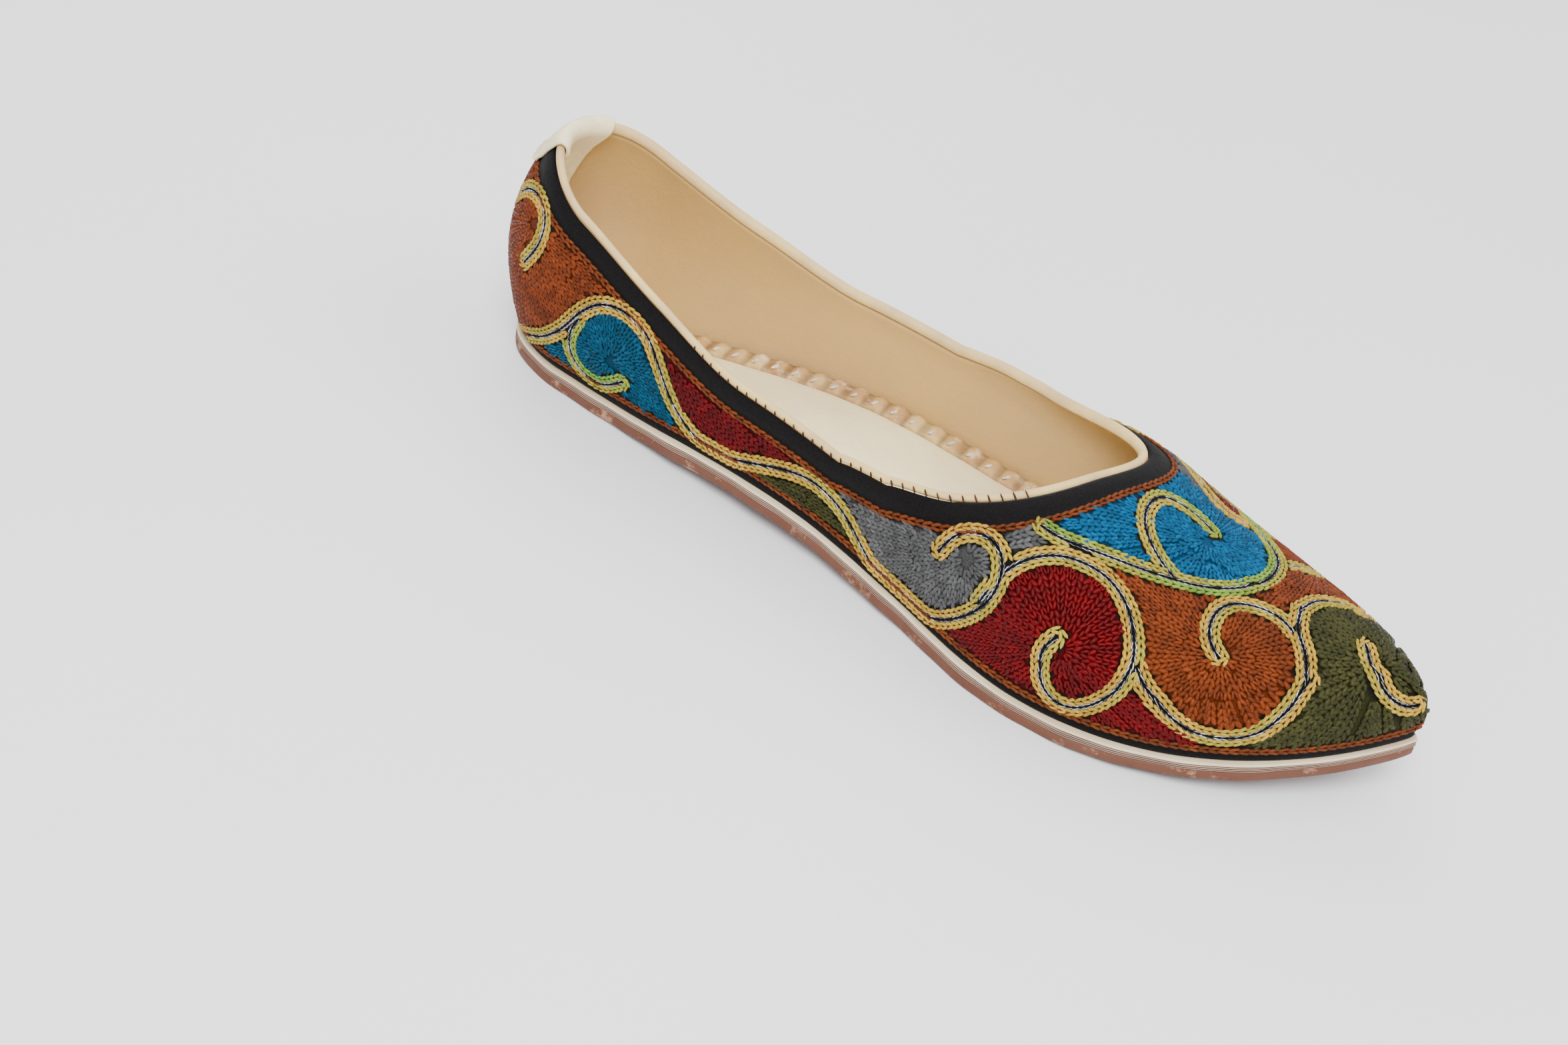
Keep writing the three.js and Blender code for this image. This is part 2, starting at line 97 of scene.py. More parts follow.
WALL = 1.8
EMBROIDERY = 0.8
FULL_WALL = WALL + EMBROIDERY
BAND_WIDTH = 5.5
EDGE_STRIP = 2.0
BINDING_HEIGHT = 2.2
BINDING_WIDTH = 2.4
OUTSOLE = 2.8
MIDSOLE = 0.8
WELT = 0.9
SOLE_LIP = 0.7
INSOLE = 1.4
STRIP_WIDTH = 5.0
STRIP_OUTER_HEIGHT = 2.8
STRIP_INNER_HEIGHT = 1.7
TAB = 0.9
TAB_DROP = 9.5
TAB_WIDTH = 22.0
TAB_LINING_END = 6.0
TOE_ROOM = 8.0
GAP = 0.3

SOLE = OUTSOLE + MIDSOLE + WELT + 2 * GAP
UPPER_BASE = SOLE + GAP
EDGE_DROP = BINDING_HEIGHT + GAP
BAND_DROP = EDGE_DROP + BAND_WIDTH
STEP = 0.6

# Shares along the length, and their values
WIDENING = ((0.11, 0), (0.27, 0.16), (0.42, 0.36), (0.55, 0.6), (0.7, 1))
SWING = ((0.12, 0), (0.42, 0.008), (0.68, -0.036), (1, -0.01))
TOPLINE = ((0, 1), (0.12, 0.735), (0.22, 0.41), (0.34, 0.06), (0.48, 0))
COLLAR_CROWN = ((0, 1.18), (0.12, 1.39), (0.22, 1.6), (0.34, 1.93), (0.48, 1.84))
VAMP_CROWN = ((0.48, 1.13), (0.57, 1.01), (0.67, 0.93), (0.77, 0.755), (0.88, 0.63), (1, 0.52))
BULGE = ((0, 1.33), (0.4, 1), (0.6, 1), (1, 0.2))
BALL_AT = 0.7
TOE_ROUNDING = 2.26
TOE_POINT = 0.86
TOE_INSET = 1.15
NOSE_AT = 0.88
NOSE_POWER = 3.0
CROWN_MEET = (0.44, 0.57)
ARCH_POWER = 1.05
INNER_ARCH_POWER = 0.7
INNER_ARCH = (0.44, 0.56, 0.62, 0.8)
TUCK_END = 0.4
LOWER_POWER = 1.6
LEAST_RADIUS = 6.0
ARCH_SPAN = (0.13, 0.63)
SPRING_AT = 0.7

# Columns of the last's grid up the sides and over the vamp, and rows of its field
SIDE_COLUMNS = 150
VAMP_COLUMNS = 150
COLUMNS = SIDE_COLUMNS + VAMP_COLUMNS
HEEL_CLOSENESS = 0.4
VAMP_FOOT_AT = 126.0
BEND_POWER = 1.5
NOSE_PART = 0.25
COLLAR_PART = 0.62
CORNER_EASE = 0.035
CORNER_REACH = 0.14
FIELD_ROWS = 84
LOW_ROWS = 4
LOW_PART = 0.6
BAND_ROWS = 8
WALL_SAMPLES = 81
CURVE_SAMPLES = 801

# The heel's middle line lies this far to the outer side of the box's middle
HEEL_LINE = 2.858
ORIGIN = np.array((CAD_BOX[0][0] / MM, HEEL_LINE, 0.0))

HEEL_BACK = -HEEL_ROUND
TOE_TIP = LENGTH - HEEL_ROUND
VAMP_FOOT = VAMP_FOOT_AT - HEEL_ROUND


def lerp(a, b, t):
    return a + (b - a) * t


def smoothstep(x, low, high):
    t = np.clip((x - low) / (high - low), 0, 1)
    return t * t * (3 - 2 * t)


def follow(rows, at):
    """Smooth value between a table's rows, level at both ends and without overshoot."""
    places, values = (np.array(column, float) for column in zip(*rows))
    at = np.clip(at, places[0], places[-1])
    rate = np.diff(values) / np.diff(places)
    product = rate[:-1] * rate[1:]
    total = np.where(product > 0, rate[:-1] + rate[1:], 1)
    slope = np.zeros(len(places))
    slope[1:-1] = np.where(product > 0, 2 * product / total, 0)
    i = np.clip(np.searchsorted(places, at, side="right") - 1, 0, len(places) - 2)
    span = places[i + 1] - places[i]
    t = (at - places[i]) / span
    rise = t * t * (3 - 2 * t)
    bend = t * (1 - t) ** 2 * slope[i] + t * t * (t - 1) * slope[i + 1]
    return values[i] * (1 - rise) + values[i + 1] * rise + span * bend


def ground(x):
    at = x / LENGTH
    arch = np.clip((at - ARCH_SPAN[0]) / (ARCH_SPAN[1] - ARCH_SPAN[0]), 0, 1)
    toe = np.clip((at - SPRING_AT) / (1 - SPRING_AT), 0, 1)
    return ARCH_RISE * np.sin(math.pi * arch) ** 2 + TOE_SPRING * toe**2


def swing(x):
    return BALL_WIDTH * follow(SWING, x / LENGTH)


def bulge(x):
    return BULGE_HEIGHT * follow(BULGE, x / LENGTH)


def tuck(x):
    return lerp(HEEL_TUCK, FRONT_TUCK, smoothstep(x / LENGTH, 0, TUCK_END))


def topline_height(x):
    return lerp(SIDE_HEIGHT, HEEL_HEIGHT, follow(TOPLINE, x / LENGTH))


def crown(x):
    at = x / LENGTH
    collar = topline_height(x) * follow(COLLAR_CROWN, at)
    vamp = INSTEP_HEIGHT * follow(VAMP_CROWN, at)
    height = lerp(collar, vamp, smoothstep(at, *CROWN_MEET))
    nose = np.clip((at - NOSE_AT) / (1 - NOSE_AT), 0, 1)
    return bulge(x) + (height - bulge(x)) * np.sqrt(1 - nose**NOSE_POWER)


def half_width(x, inset):
    ball = BALL_AT * LENGTH
    wide = lerp(HEEL_WIDTH, BALL_WIDTH, follow(WIDENING, x / LENGTH)) / 2 - inset
    toe = np.clip((x - ball) / (LENGTH - ball), 0, 1)
    return np.where(x <= ball, wide, (BALL_WIDTH / 2 - inset) * (1 - toe**TOE_ROUNDING) ** TOE_POINT)


def plan(walk, inset, room=0.0):
    """Spine, arm to the outline and place along the length, at a distance walked round the outline."""
    walk = np.asarray(walk, float)
    turn = (math.pi / 2) * (1 + np.minimum(walk, 0) / HEEL_ROUND)
    straight = HEEL_ROUND + walk
    ball = BALL_AT * LENGTH
    toe = np.clip((straight - ball) / (LENGTH - ball), 0, 1)
    heel = walk < 0
    spine = np.where(heel, HEEL_ROUND, straight - TOE_INSET * inset * toe - room * toe**2)
    back = np.where(heel, (inset - HEEL_ROUND) * np.cos(turn), 0)
    out = np.where(heel, (HEEL_WIDTH / 2 - inset) * np.sin(turn), half_width(np.maximum(straight, 0), inset))
    x = np.where(heel, HEEL_ROUND * (1 - np.cos(turn)), straight)
    return spine, back, out, x


def arch_power(side, x):
    """The inner side's arch is fuller round the throat's corner."""
    if side < 0:
        return ARCH_POWER
    at = x / LENGTH
    there = smoothstep(at, *INNER_ARCH[:2]) * (1 - smoothstep(at, *INNER_ARCH[2:]))
    return lerp(ARCH_POWER, INNER_ARCH_POWER, there)


def last_point(side, walk, angle, inset=0.0):
    """A point of the last. Angles above zero climb the arch, and below zero they fall to the sole."""
    spine, back, out, x = plan(walk, inset)
    angle = np.asarray(angle, float)
    top = crown(x) - inset
    full = bulge(x) * (top / crown(x))
    radius = np.maximum(np.hypot(back, out), LEAST_RADIUS)
    fall = np.clip(-angle, 0, 1)
    reach_up = np.maximum(np.cos(angle), 0) ** arch_power(side, x)
    reach = np.where(angle >= 0, reach_up, 1 - tuck(x) * fall**LOWER_POWER / radius)
    height = np.where(angle >= 0, full + (top - full) * np.sin(angle), full * (1 + angle))
    px = spine + back * reach
    return np.stack([px, side * out * reach + swing(px), height + UPPER_BASE + ground(px)], -1)


def collar_angle(side, x, drop):
    tilt = side * TOPLINE_TILT * np.clip(x / LENGTH / TILT_END, 0, 1)
    height = topline_height(x) + tilt - drop
    full = bulge(x)
    above = np.arcsin(np.clip((height - full) / (crown(x) - full), 0, 1))
    return np.where(height < full, np.maximum(height / full - 1, -1), above)


def column_distance(i, side_length, length):
    """How far along an edge a column stands, for a share of the columns from 0 to 1."""
    share = np.asarray(i, float) * 2
    near = share - HEEL_CLOSENESS * np.sin(math.pi * share) / math.pi
    return np.where(share <= 1, side_length * near, lerp(side_length, length, share - 1))


def lengths_of(points):
    steps = np.linalg.norm(np.diff(points, axis=0), axis=1)
    return np.concatenate([[0], np.cumsum(steps)])


def rim_place(side, drop, t):
    """Walk and angle along the line round the opening, with the corner between collar and throat eased."""
    t = np.asarray(t, float)
    near = np.maximum(1 - ((t - COLLAR_PART) / CORNER_REACH) ** 2, 0)
    ease = CORNER_EASE * near**2
    before, after = sharp_place(side, drop, t - ease), sharp_place(side, drop, t + ease)
    return (before[0] + after[0]) / 2, (before[1] + after[1]) / 2


def sharp_place(side, drop, t):
    """Walk and angle along the line round the opening, a drop below the topline."""
    walk = lerp(HEEL_BACK, THROAT_START - HEEL_ROUND, np.minimum(t / COLLAR_PART, 1))
    angle = collar_angle(side, plan(walk, 0)[3], drop)
    part = 1 - (1 - np.clip((t - COLLAR_PART) / (1 - COLLAR_PART), 0, 1)) ** THROAT_CLOSENESS
    x = lerp(THROAT_START, THROAT_FRONT + drop, part)
    start = max(float(collar_angle(side, THROAT_START, 0)), 0)
    power = THROAT_OUTER_POWER if side < 0 else THROAT_INNER_POWER
    flare = 0 if side < 0 else THROAT_INNER_FLARE * part**2
    corner = np.maximum(1 - part**power, 0) ** (1 / power)
    y = (half_width(THROAT_START, 0) * math.cos(start) ** arch_power(side, THROAT_START) + flare) * corner
    slanted = x + THROAT_SLANT * side * y * part
    arch = np.arccos(np.minimum(y / half_width(slanted, 0), 1) ** (1 / arch_power(side, slanted)))
    closed = np.clip((arch - start) / (math.pi / 2 - start), 0, 1)
    base = collar_angle(side, THROAT_START, drop)
    front = t >= COLLAR_PART
    angle = np.where(front, lerp(base, math.pi / 2, closed), angle)
    return np.where(front, slanted - HEEL_ROUND, walk), angle


@functools.lru_cache(maxsize=None)
def rim_table(side, drop):
    t = np.linspace(0, 1, CURVE_SAMPLES)
    return t, lengths_of(last_point(side, *rim_place(side, drop, t)))


def rim_at(side, drop, distance):
    """Walk and angle at a distance along the rim from the heel."""
    t, lengths = rim_table(side, round(float(drop), 4))
    return rim_place(side, drop, np.interp(distance, lengths, t))


def rim(side, drop, shares):
    """Walks and angles of the rim at shares of the columns."""
    t, lengths = rim_table(side, round(float(drop), 4))
    return rim_at(side, drop, column_distance(shares, np.interp(COLLAR_PART, t, lengths), lengths[-1]))


@functools.lru_cache(maxsize=None)
def foot_walks(count=COLUMNS):
    t = np.linspace(0, 1, CURVE_SAMPLES)
    lengths = lengths_of(last_point(1, lerp(HEEL_BACK, TOE_TIP, t), np.full_like(t, -1)))
    part = (VAMP_FOOT - HEEL_BACK) / (TOE_TIP - HEEL_BACK)
    shares = np.linspace(0, 1, count + 1)
    distance = column_distance(shares, np.interp(part, t, lengths), lengths[-1])
    return lerp(HEEL_BACK, TOE_TIP, np.interp(distance, lengths, t))


def both_sides(build):
    """Rows of points of the two sides joined into one round: outer side to the toe, inner side back."""
    outer, inner = build(-1), build(1)
    return np.concatenate([outer, inner[::-1][1:]])


SHARES = np.linspace(0, 1, COLUMNS + 1)


class Wall:
    """The outside of the upper on one side, as columns of walks and angles from the sole to the rim."""

    def __init__(self, side):
        heads = rim(side, BAND_DROP, SHARES)
        samples = np.linspace(0, 1, WALL_SAMPLES)
        rise = np.minimum(samples / NOSE_PART, 1)
        run = np.maximum((samples - NOSE_PART) / (1 - NOSE_PART), 0)
        rows = np.linspace(0, 1, FIELD_ROWS + 1)
        self.walk = np.zeros((COLUMNS + 1, FIELD_ROWS + 1))
        self.angle = np.zeros_like(self.walk)
        self.low_walk, self.low_angle = np.zeros((2, COLUMNS + 1, LOW_ROWS))
        for i, foot in enumerate(foot_walks()):
            bend = np.clip((foot - VAMP_FOOT) / (TOE_TIP - VAMP_FOOT), 0, 1) ** BEND_POWER
            walk = lerp(foot, heads[0][i], lerp(samples, run, bend))
            angle = lerp(-1, heads[1][i], lerp(samples, rise, bend))
            lengths = lengths_of(last_point(side, walk, angle))
            start = min(EDGE_STRIP + STEP, lengths[-1] * LOW_PART)
            where = np.interp(lerp(start, lengths[-1], rows), lengths, samples)
            self.walk[i], self.angle[i] = np.interp(where, samples, walk), np.interp(where, samples, angle)
            feet = np.interp(np.linspace(0, start, LOW_ROWS), lengths, samples)
            self.low_walk[i] = np.interp(feet, samples, walk)
            self.low_angle[i] = np.interp(feet, samples, angle)
        self.points = last_point(side, self.walk, self.angle)


# Slopes of the grid are taken this many steps to each side
SLOPE_REACH = 0.75


class Field:
    """The embroidered field as one grid round the shoe: up the outer side to the toe, back down the inner."""

    def __init__(self):
        self.points = both_sides(lambda side: wall(side).points)
        self.last = len(self.points) - 1

    def heights(self):
        """Length of each column of the grid, from the sole to the rim."""
        return np.linalg.norm(np.diff(self.points, axis=1), axis=-1).sum(1)

    def clip(self, u, v):
        return np.clip(u, 0, self.last), np.clip(v, 0, FIELD_ROWS)

    def at(self, u, v):
        """Points at places in the grid, between its own points too."""
        u, v = self.clip(u, v)
        i = np.minimum(u.astype(int), self.last - 1)
        j = np.minimum(v.astype(int), FIELD_ROWS - 1)
        a, b = (u - i)[..., None], (v - j)[..., None]
        p = self.points
        return lerp(lerp(p[i, j], p[i + 1, j], a), lerp(p[i, j + 1], p[i + 1, j + 1], a), b)

    def slopes(self, u, v):
        """Change of the point along the grid, up the grid, and the outward normal."""
        u, v = self.clip(u, v)
        u0, v0 = self.clip(u - SLOPE_REACH, v - SLOPE_REACH)
        u1, v1 = self.clip(u + SLOPE_REACH, v + SLOPE_REACH)
        along = (self.at(u1, v) - self.at(u0, v)) / (u1 - u0)[..., None]
        up = (self.at(u, v1) - self.at(u, v0)) / (v1 - v0)[..., None]
        return along, up, unit(np.cross(along, up))

    def shift(self, u, v, step):
        """The change of place in the grid that moves a point by a short step."""
        along, up, _ = self.slopes(u, v)
        e, f, g = (np.sum(p * q, -1) for p, q in ((along, along), (along, up), (up, up)))
        a, b = np.sum(step * along, -1), np.sum(step * up, -1)
        area = np.maximum(e * g - f * f, 1e-6)
        return (a * g - b * f) / area, (b * e - a * f) / area


def unit(v):
    return v / np.maximum(np.linalg.norm(v, axis=-1, keepdims=True), 1e-9)


def square_to(v, axis):
    """A direction made square to an axis."""
    return unit(v - axis * np.sum(v * axis, -1, keepdims=True))


@functools.lru_cache(maxsize=None)
def wall(side):
    return Wall(side)


@functools.lru_cache(maxsize=None)
def round_field():
    return Field()


# The camera: its turn and its place, as the photograph looks at the last
TURN = Vector((2.0907, 0.7301, -0.1023))
PLACE = np.array((-71.9793, -55.8053, 582.8509))
FOCAL_PIXELS = 3300.0
FRAME_WIDTH, FRAME_HEIGHT = 2352.0, 1568.0
SENSOR = 36.0
LOOK = np.array(Quaternion(TURN.normalized(), TURN.length).to_matrix())


def to_pixels(points):
    seen = points @ LOOK.T + PLACE
    return FOCAL_PIXELS * seen[..., :2] / seen[..., 2:] + (FRAME_WIDTH / 2, FRAME_HEIGHT / 2)


MERGE_DISTANCE = 0.002 * MM


def linear(colour):
    """Linear values of a colour given as it shows on screen."""
    c = np.asarray(colour, float)
    return np.where(c <= 0.04045, c / 12.92, ((c + 0.055) / 1.055) ** 2.4)


def set_out(name, data):
    thing = bpy.data.objects.new(name, data)
    bpy.context.scene.collection.objects.link(thing)
    return thing


def finish_piece(name, mesh, material, replaced=()):
    piece = set_out(name, mesh)
    mesh.materials.append(material)
    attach(piece, "root")
    if replaced:
        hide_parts(*replaced)
    return piece


def paint(mesh, colours):
    """Stores one colour a point, as linear values."""
    layer = mesh.attributes.new("tone", "FLOAT_COLOR", "POINT")
    values = np.ones((len(colours), 4), np.float32)
    values[:, :3] = colours
    layer.data.foreach_set("color", values.ravel())


def grid_mesh(name, columns, rows, half):
    """A flat square grid, with so many points each way."""
    bm = bmesh.new()
    bmesh.ops.create_grid(bm, x_segments=columns - 1, y_segments=rows - 1, size=half)
    mesh = bpy.data.meshes.new(name)
    bm.to_mesh(mesh)
    bm.free()
    return mesh


def sheet(name, points, colours=None):
    """A smooth mesh from a grid that follows an array of columns and rows of points, in millimetres."""
    columns, rows = points.shape[:2]
    mesh = grid_mesh(name, columns, rows, 1.0)
    flat = np.zeros(len(mesh.vertices) * 3, np.float32)
    mesh.vertices.foreach_get("co", flat)
    flat = flat.reshape(-1, 3)
    i = np.rint((flat[:, 0] + 1) / 2 * (columns - 1)).astype(int)
    j = np.rint((flat[:, 1] + 1) / 2 * (rows - 1)).astype(int)
    mesh.vertices.foreach_set("co", ((points[i, j] + ORIGIN) * MM).astype(np.float32).ravel())
    if colours is not None:
        paint(mesh, colours[i, j])
    bm = bmesh.new()
    bm.from_mesh(mesh)
    bmesh.ops.remove_doubles(bm, verts=bm.verts, dist=MERGE_DISTANCE)
    bmesh.ops.dissolve_degenerate(bm, edges=bm.edges, dist=MERGE_DISTANCE / 2)
    for face in bm.faces:
        face.smooth = True
    bm.to_mesh(mesh)
    bm.free()
    return mesh


# Half a lobe's length, as a share of its link's
LOBE_HALF = 0.62


def lobe_template(tilt, apart, wide=0.27, high=0.3, sides=5, rings=3):
    """A link of chain stitch: two small lobes that open forwards. Not apart, they are one straight stitch."""
    bm = bmesh.new()
    for sign in (-1, 1) if apart else (0,):
        made = bmesh.ops.create_uvsphere(bm, u_segments=sides, v_segments=rings, radius=1.0)
        for vert in made["verts"]:
            if not apart:
                vert.co = (vert.co.z * 0.5, vert.co.x * 0.5, vert.co.y * 0.5)
                continue
            x, y, z = vert.co.z * LOBE_HALF, vert.co.x * wide, vert.co.y * high
            cos, sin = math.cos(sign * tilt), math.sin(sign * tilt)
            vert.co = (x * cos - y * sin, x * sin + y * cos + sign * apart, z)
    bmesh.ops.recalc_face_normals(bm, faces=bm.faces)
    bmesh.ops.triangulate(bm, faces=bm.faces)
    points = np.array([vert.co for vert in bm.verts])
    faces = np.array([[vert.index for vert in face.verts] for face in bm.faces])
    bm.free()
    return points, faces


def scatter(name, template, places, ahead, normals, sizes, colours):
    """Joins copies of a small template: one at each place, turned along its thread, with its own colour."""
    points, faces = template
    across = unit(np.cross(normals, ahead))
    axes = np.stack([ahead * sizes[:, 0:1], across * sizes[:, 1:2], normals * sizes[:, 2:3]], 1)
    verts = np.einsum("pk,nkc->npc", points, axes) + places[:, None]
    verts = (verts.reshape(-1, 3) + ORIGIN) * MM
    count, size = len(places), len(points)
    index = (faces[None] + (np.arange(count) * size)[:, None, None]).reshape(-1)
    mesh = bpy.data.meshes.new(name)
    mesh.vertices.add(len(verts))
    mesh.vertices.foreach_set("co", verts.astype(np.float32).ravel())
    mesh.loops.add(len(index))
    mesh.loops.foreach_set("vertex_index", index.astype(np.int32))
    total = len(index) // 3
    mesh.polygons.add(total)
    mesh.polygons.foreach_set("loop_start", np.arange(0, len(index), 3, dtype=np.int32))
    mesh.polygons.foreach_set("use_smooth", np.ones(total, bool))
    mesh.update(calc_edges=True)
    mesh.validate()
    paint(mesh, np.repeat(colours, size, axis=0))
    return mesh


def node_tree(name):
    material = bpy.data.materials.new(name)
    material.use_nodes = True
    tree = material.node_tree
    shader = tree.nodes["Principled BSDF"]
    return material, tree, shader


def put(node, **values):
    """Sets a node's own settings and its inputs."""
    for key, value in values.items():
        if hasattr(node, key):
            setattr(node, key, value)
        else:
            node.inputs[key.replace("_", " ")].default_value = value
    return node


def make(tree, kind, **values):
    return put(tree.nodes.new(kind), **values)


def pattern(tree, kind, output, **values):
    """A texture that is fixed to the piece."""
    node = make(tree, kind, **values)
    where = tree.nodes.new("ShaderNodeTexCoord")
    tree.links.new(where.outputs["Object"], node.inputs["Vector"])
    return node.outputs[output]


def noise(tree, scale, detail, roughness=0.55):
    return pattern(tree, "ShaderNodeTexNoise", "Fac", Scale=scale, Detail=detail, Roughness=roughness)


def ramp(tree, source, stops):
    node = tree.nodes.new("ShaderNodeValToRGB")
    elements = node.color_ramp.elements
    while len(elements) < len(stops):
        elements.new(0.5)
    for element, (place, value) in zip(elements, stops):
        element.position = place
        element.color = (value, value, value, 1) if isinstance(value, (int, float)) else (*value, 1)
    tree.links.new(source, node.inputs["Fac"])
    return node.outputs["Color"]


def mix(tree, amount, first, second, how="MIX"):
    node = make(tree, "ShaderNodeMix", data_type="RGBA", blend_type=how)
    for socket, value in ((node.inputs[0], amount), (node.inputs[6], first), (node.inputs[7], second)):
        if isinstance(value, bpy.types.NodeSocket):
            tree.links.new(value, socket)
        elif isinstance(value, (int, float)):
            socket.default_value = value
        else:
            socket.default_value = (*value, 1)
    return node.outputs[2]


def tinted(tree, shade):
    """A shade multiplied by the tone painted on the piece."""
    painted = make(tree, "ShaderNodeAttribute", attribute_name="tone")
    return mix(tree, 1.0, painted.outputs["Color"], shade, "MULTIPLY")


def bump(tree, shader, layers):
    """Stacks heights on the shader: each is a source, a strength and a depth in millimetres."""
    before = None
    for source, strength, depth in layers:
        node = make(tree, "ShaderNodeBump", Strength=strength, Distance=depth * MM)
        tree.links.new(source, node.inputs["Height"])
        if before is not None:
            tree.links.new(before, node.inputs["Normal"])
        before = node.outputs["Normal"]
    tree.links.new(before, shader.inputs["Normal"])


def leather(name, colour, stain, grain, roughness, blotch, wear=None, tone=False):
    """Leather with soft stains, pores and fine creases. A tone painted on the piece can tint it."""
    material, tree, shader = node_tree(name)
    base, dark = tuple(linear(colour)), tuple(linear(stain))
    stains = ramp(tree, noise(tree, blotch, 5), ((0.35, 0.0), (0.72, 1.0)))
    fine = ramp(tree, noise(tree, grain * 0.6, 3), ((0.3, 0.0), (0.75, 1.0)))
    shade = mix(tree, stains, base, dark)
    shade = mix(tree, mix(tree, 0.25, (0, 0, 0), fine), shade, dark)
    if wear:
        rubbed = ramp(tree, noise(tree, 120.0, 6, 0.7), ((0.56, 0.0), (0.7, 1.0)))
        shade = mix(tree, rubbed, shade, tuple(linear(wear)))
    if tone:
        shade = tinted(tree, shade)
    tree.links.new(shade, shader.inputs["Base Color"])
    gloss = ramp(tree, noise(tree, grain * 0.3, 3), ((0.3, roughness - 0.08), (0.7, roughness + 0.12)))
    tree.links.new(gloss, shader.inputs["Roughness"])
    put(shader, Specular_IOR_Level=0.35)
    pores = pattern(tree, "ShaderNodeTexVoronoi", "Distance", Scale=grain)
    bump(tree, shader, ((pores, 0.35, 0.12), (noise(tree, 160.0, 6, 0.6), 0.4, 0.5)))
    return material


def velvet(name):
    """Short dark pile, tinted by the tone painted under each field of stitches: the field's colour with
    painted shade between its rows.
    """
    material, tree, shader = node_tree(name)
    pile = ramp(tree, noise(tree, 2600.0, 3, 0.7), ((0.3, 0.45), (0.7, 1.3)))
    tree.links.new(tinted(tree, pile), shader.inputs["Base Color"])
    put(shader, Roughness=0.95, Specular_IOR_Level=0.1, Sheen_Weight=0.05, Sheen_Roughness=0.4)
    bump(tree, shader, ((noise(tree, 3200.0, 2, 0.7), 0.8, 0.25), (noise(tree, 500.0, 3), 0.4, 0.4)))
    return material


def thread(name, roughness=0.5, metallic=0.0):
    """Stitching thread: its own painted colour, with strands and small changes of shade."""
    material, tree, shader = node_tree(name)
    strands = ramp(tree, noise(tree, 1900.0, 2, 0.6), ((0.25, 0.55), (0.7, 1.2)))
    patches = ramp(tree, noise(tree, 110.0, 3), ((0.3, 0.86), (0.7, 1.1)))
    shade = mix(tree, 1.0, tinted(tree, strands), patches, "MULTIPLY")
    tree.links.new(shade, shader.inputs["Base Color"])
    put(shader, Roughness=roughness, Metallic=metallic, Specular_IOR_Level=0.12)
    bump(tree, shader, ((noise(tree, 3400.0, 2, 0.6), 0.5, 0.12),))
    return material


# Sides of the sole's layers: shares of the height, and how far in the edge lies there
OUTSOLE_SIDE = ((0, 0.95), (0.12, 0.35), (0.3, 0.05), (0.55, 0), (0.8, 0.05), (0.93, 0.2), (1, 0.55))
MIDSOLE_SIDE = (
    (0, 0.4), (0.06, 0.15), (0.18, 0.12), (0.21, 0.25), (0.42, 0.25), (0.45, 0.12),
    (0.6, 0.12), (0.63, 0.25), (0.84, 0.25), (0.87, 0.12), (1, 0.2),
)
WELT_SIDE = ((0, 0.3), (0.04, 0.25), (0.24, 0.25), (0.28, 0.1), (0.45, 0), (0.75, 0), (0.92, 0.12), (1, 0.45))
# Rows this far in get painted shade, for the grooves between plies, up to the top of the edge
GROOVE_SHADE_FROM = 0.22
EDGE_TOP = 0.9
INSOLE_SIDE = ((0, 0), (0.5, 0), (0.8, 0.1), (0.94, 0.25), (1, 0.5))
ACROSS = (0.04, 0.12, 0.25, 0.42, 0.58, 0.75, 0.88, 0.96)

# The edges' waves: their length and that of the shorter one in them, how each layer is set off and how far it
# swings, the part that its height has of it, and the share of the height below which it stays flat
WAVE_LENGTH = 31.0
SHORT_WAVE = 0.43
SIDE_OFFSET = 40
HEIGHT_PHASE = 1.7
EDGE_PHASE = 2.1
INSOLE_PHASE = 1.1
OUTSOLE_WAVE = 0.3
MIDSOLE_WAVE = 0.42
WELT_WAVE = 0.3
INSOLE_WAVE = 0.1
HEIGHT_PART = 0.5
FLAT_PART = 0.05


def wavy(walk, phase):
    """A slow unevenness along an edge that was cut and pressed by hand, from -1 to 1."""
    first = np.sin(2 * math.pi * walk / WAVE_LENGTH + phase)
    second = np.sin(2 * math.pi * walk / (WAVE_LENGTH * SHORT_WAVE) + 2.3 * phase)
    return 0.65 * first + 0.35 * second


def layer_points(base, thickness, inset, side, lip, room, wave, phase):
    """Rings round a flat layer: up the inner side, across the top, down the outer side and back below."""
    walks = foot_walks()
    x = plan(walks, 0)[3]

    def edge(sign, up, share):
        uneven = wave * wavy(walks * sign + SIDE_OFFSET * sign, phase)
        spine, back, out, _ = plan(walks, tuck(x) + inset + share * lip + uneven, room)
        px = spine + back
        rise = HEIGHT_PART * wave * wavy(walks * sign, phase + HEIGHT_PHASE) * (up > FLAT_PART)
        return np.stack([px, sign * out + swing(px), base + up * thickness + rise + ground(px)], -1)

    left = [edge(1, up, share) for up, share in side]
    right = [edge(-1, up, share) for up, share in side][::-1]
    top = [lerp(left[-1], right[0], t) for t in ACROSS]
    bottom = [lerp(right[-1], left[0], t) for t in ACROSS]
    return np.stack([*left, *top, *right, *bottom, left[0]], 1)


def layer_piece(name, node_slot, material, tones, wave, phase, **shape):
    """A layer of the sole, whose edge can be painted in a light tone, with painted shade in the grooves
    between its plies.
    """
    points = layer_points(wave=wave, phase=phase, **shape)
    colours = None
    if tones:
        light, dark = tones
        rows = len(shape["side"])
        ring = [light] * points.shape[1]
        for k, (up, share) in enumerate(shape["side"]):
            # Rows set in as grooves take the dark tone: painted shade between the plies
            shade = dark if share >= GROOVE_SHADE_FROM and up < EDGE_TOP else light
            ring[k] = shade
            ring[2 * rows + len(ACROSS) - 1 - k] = shade
        colours = np.broadcast_to(linear(np.array(ring)), points.shape)
    finish_piece(name, sheet(name, points, colours), material, (name.replace("_layer", ""),))


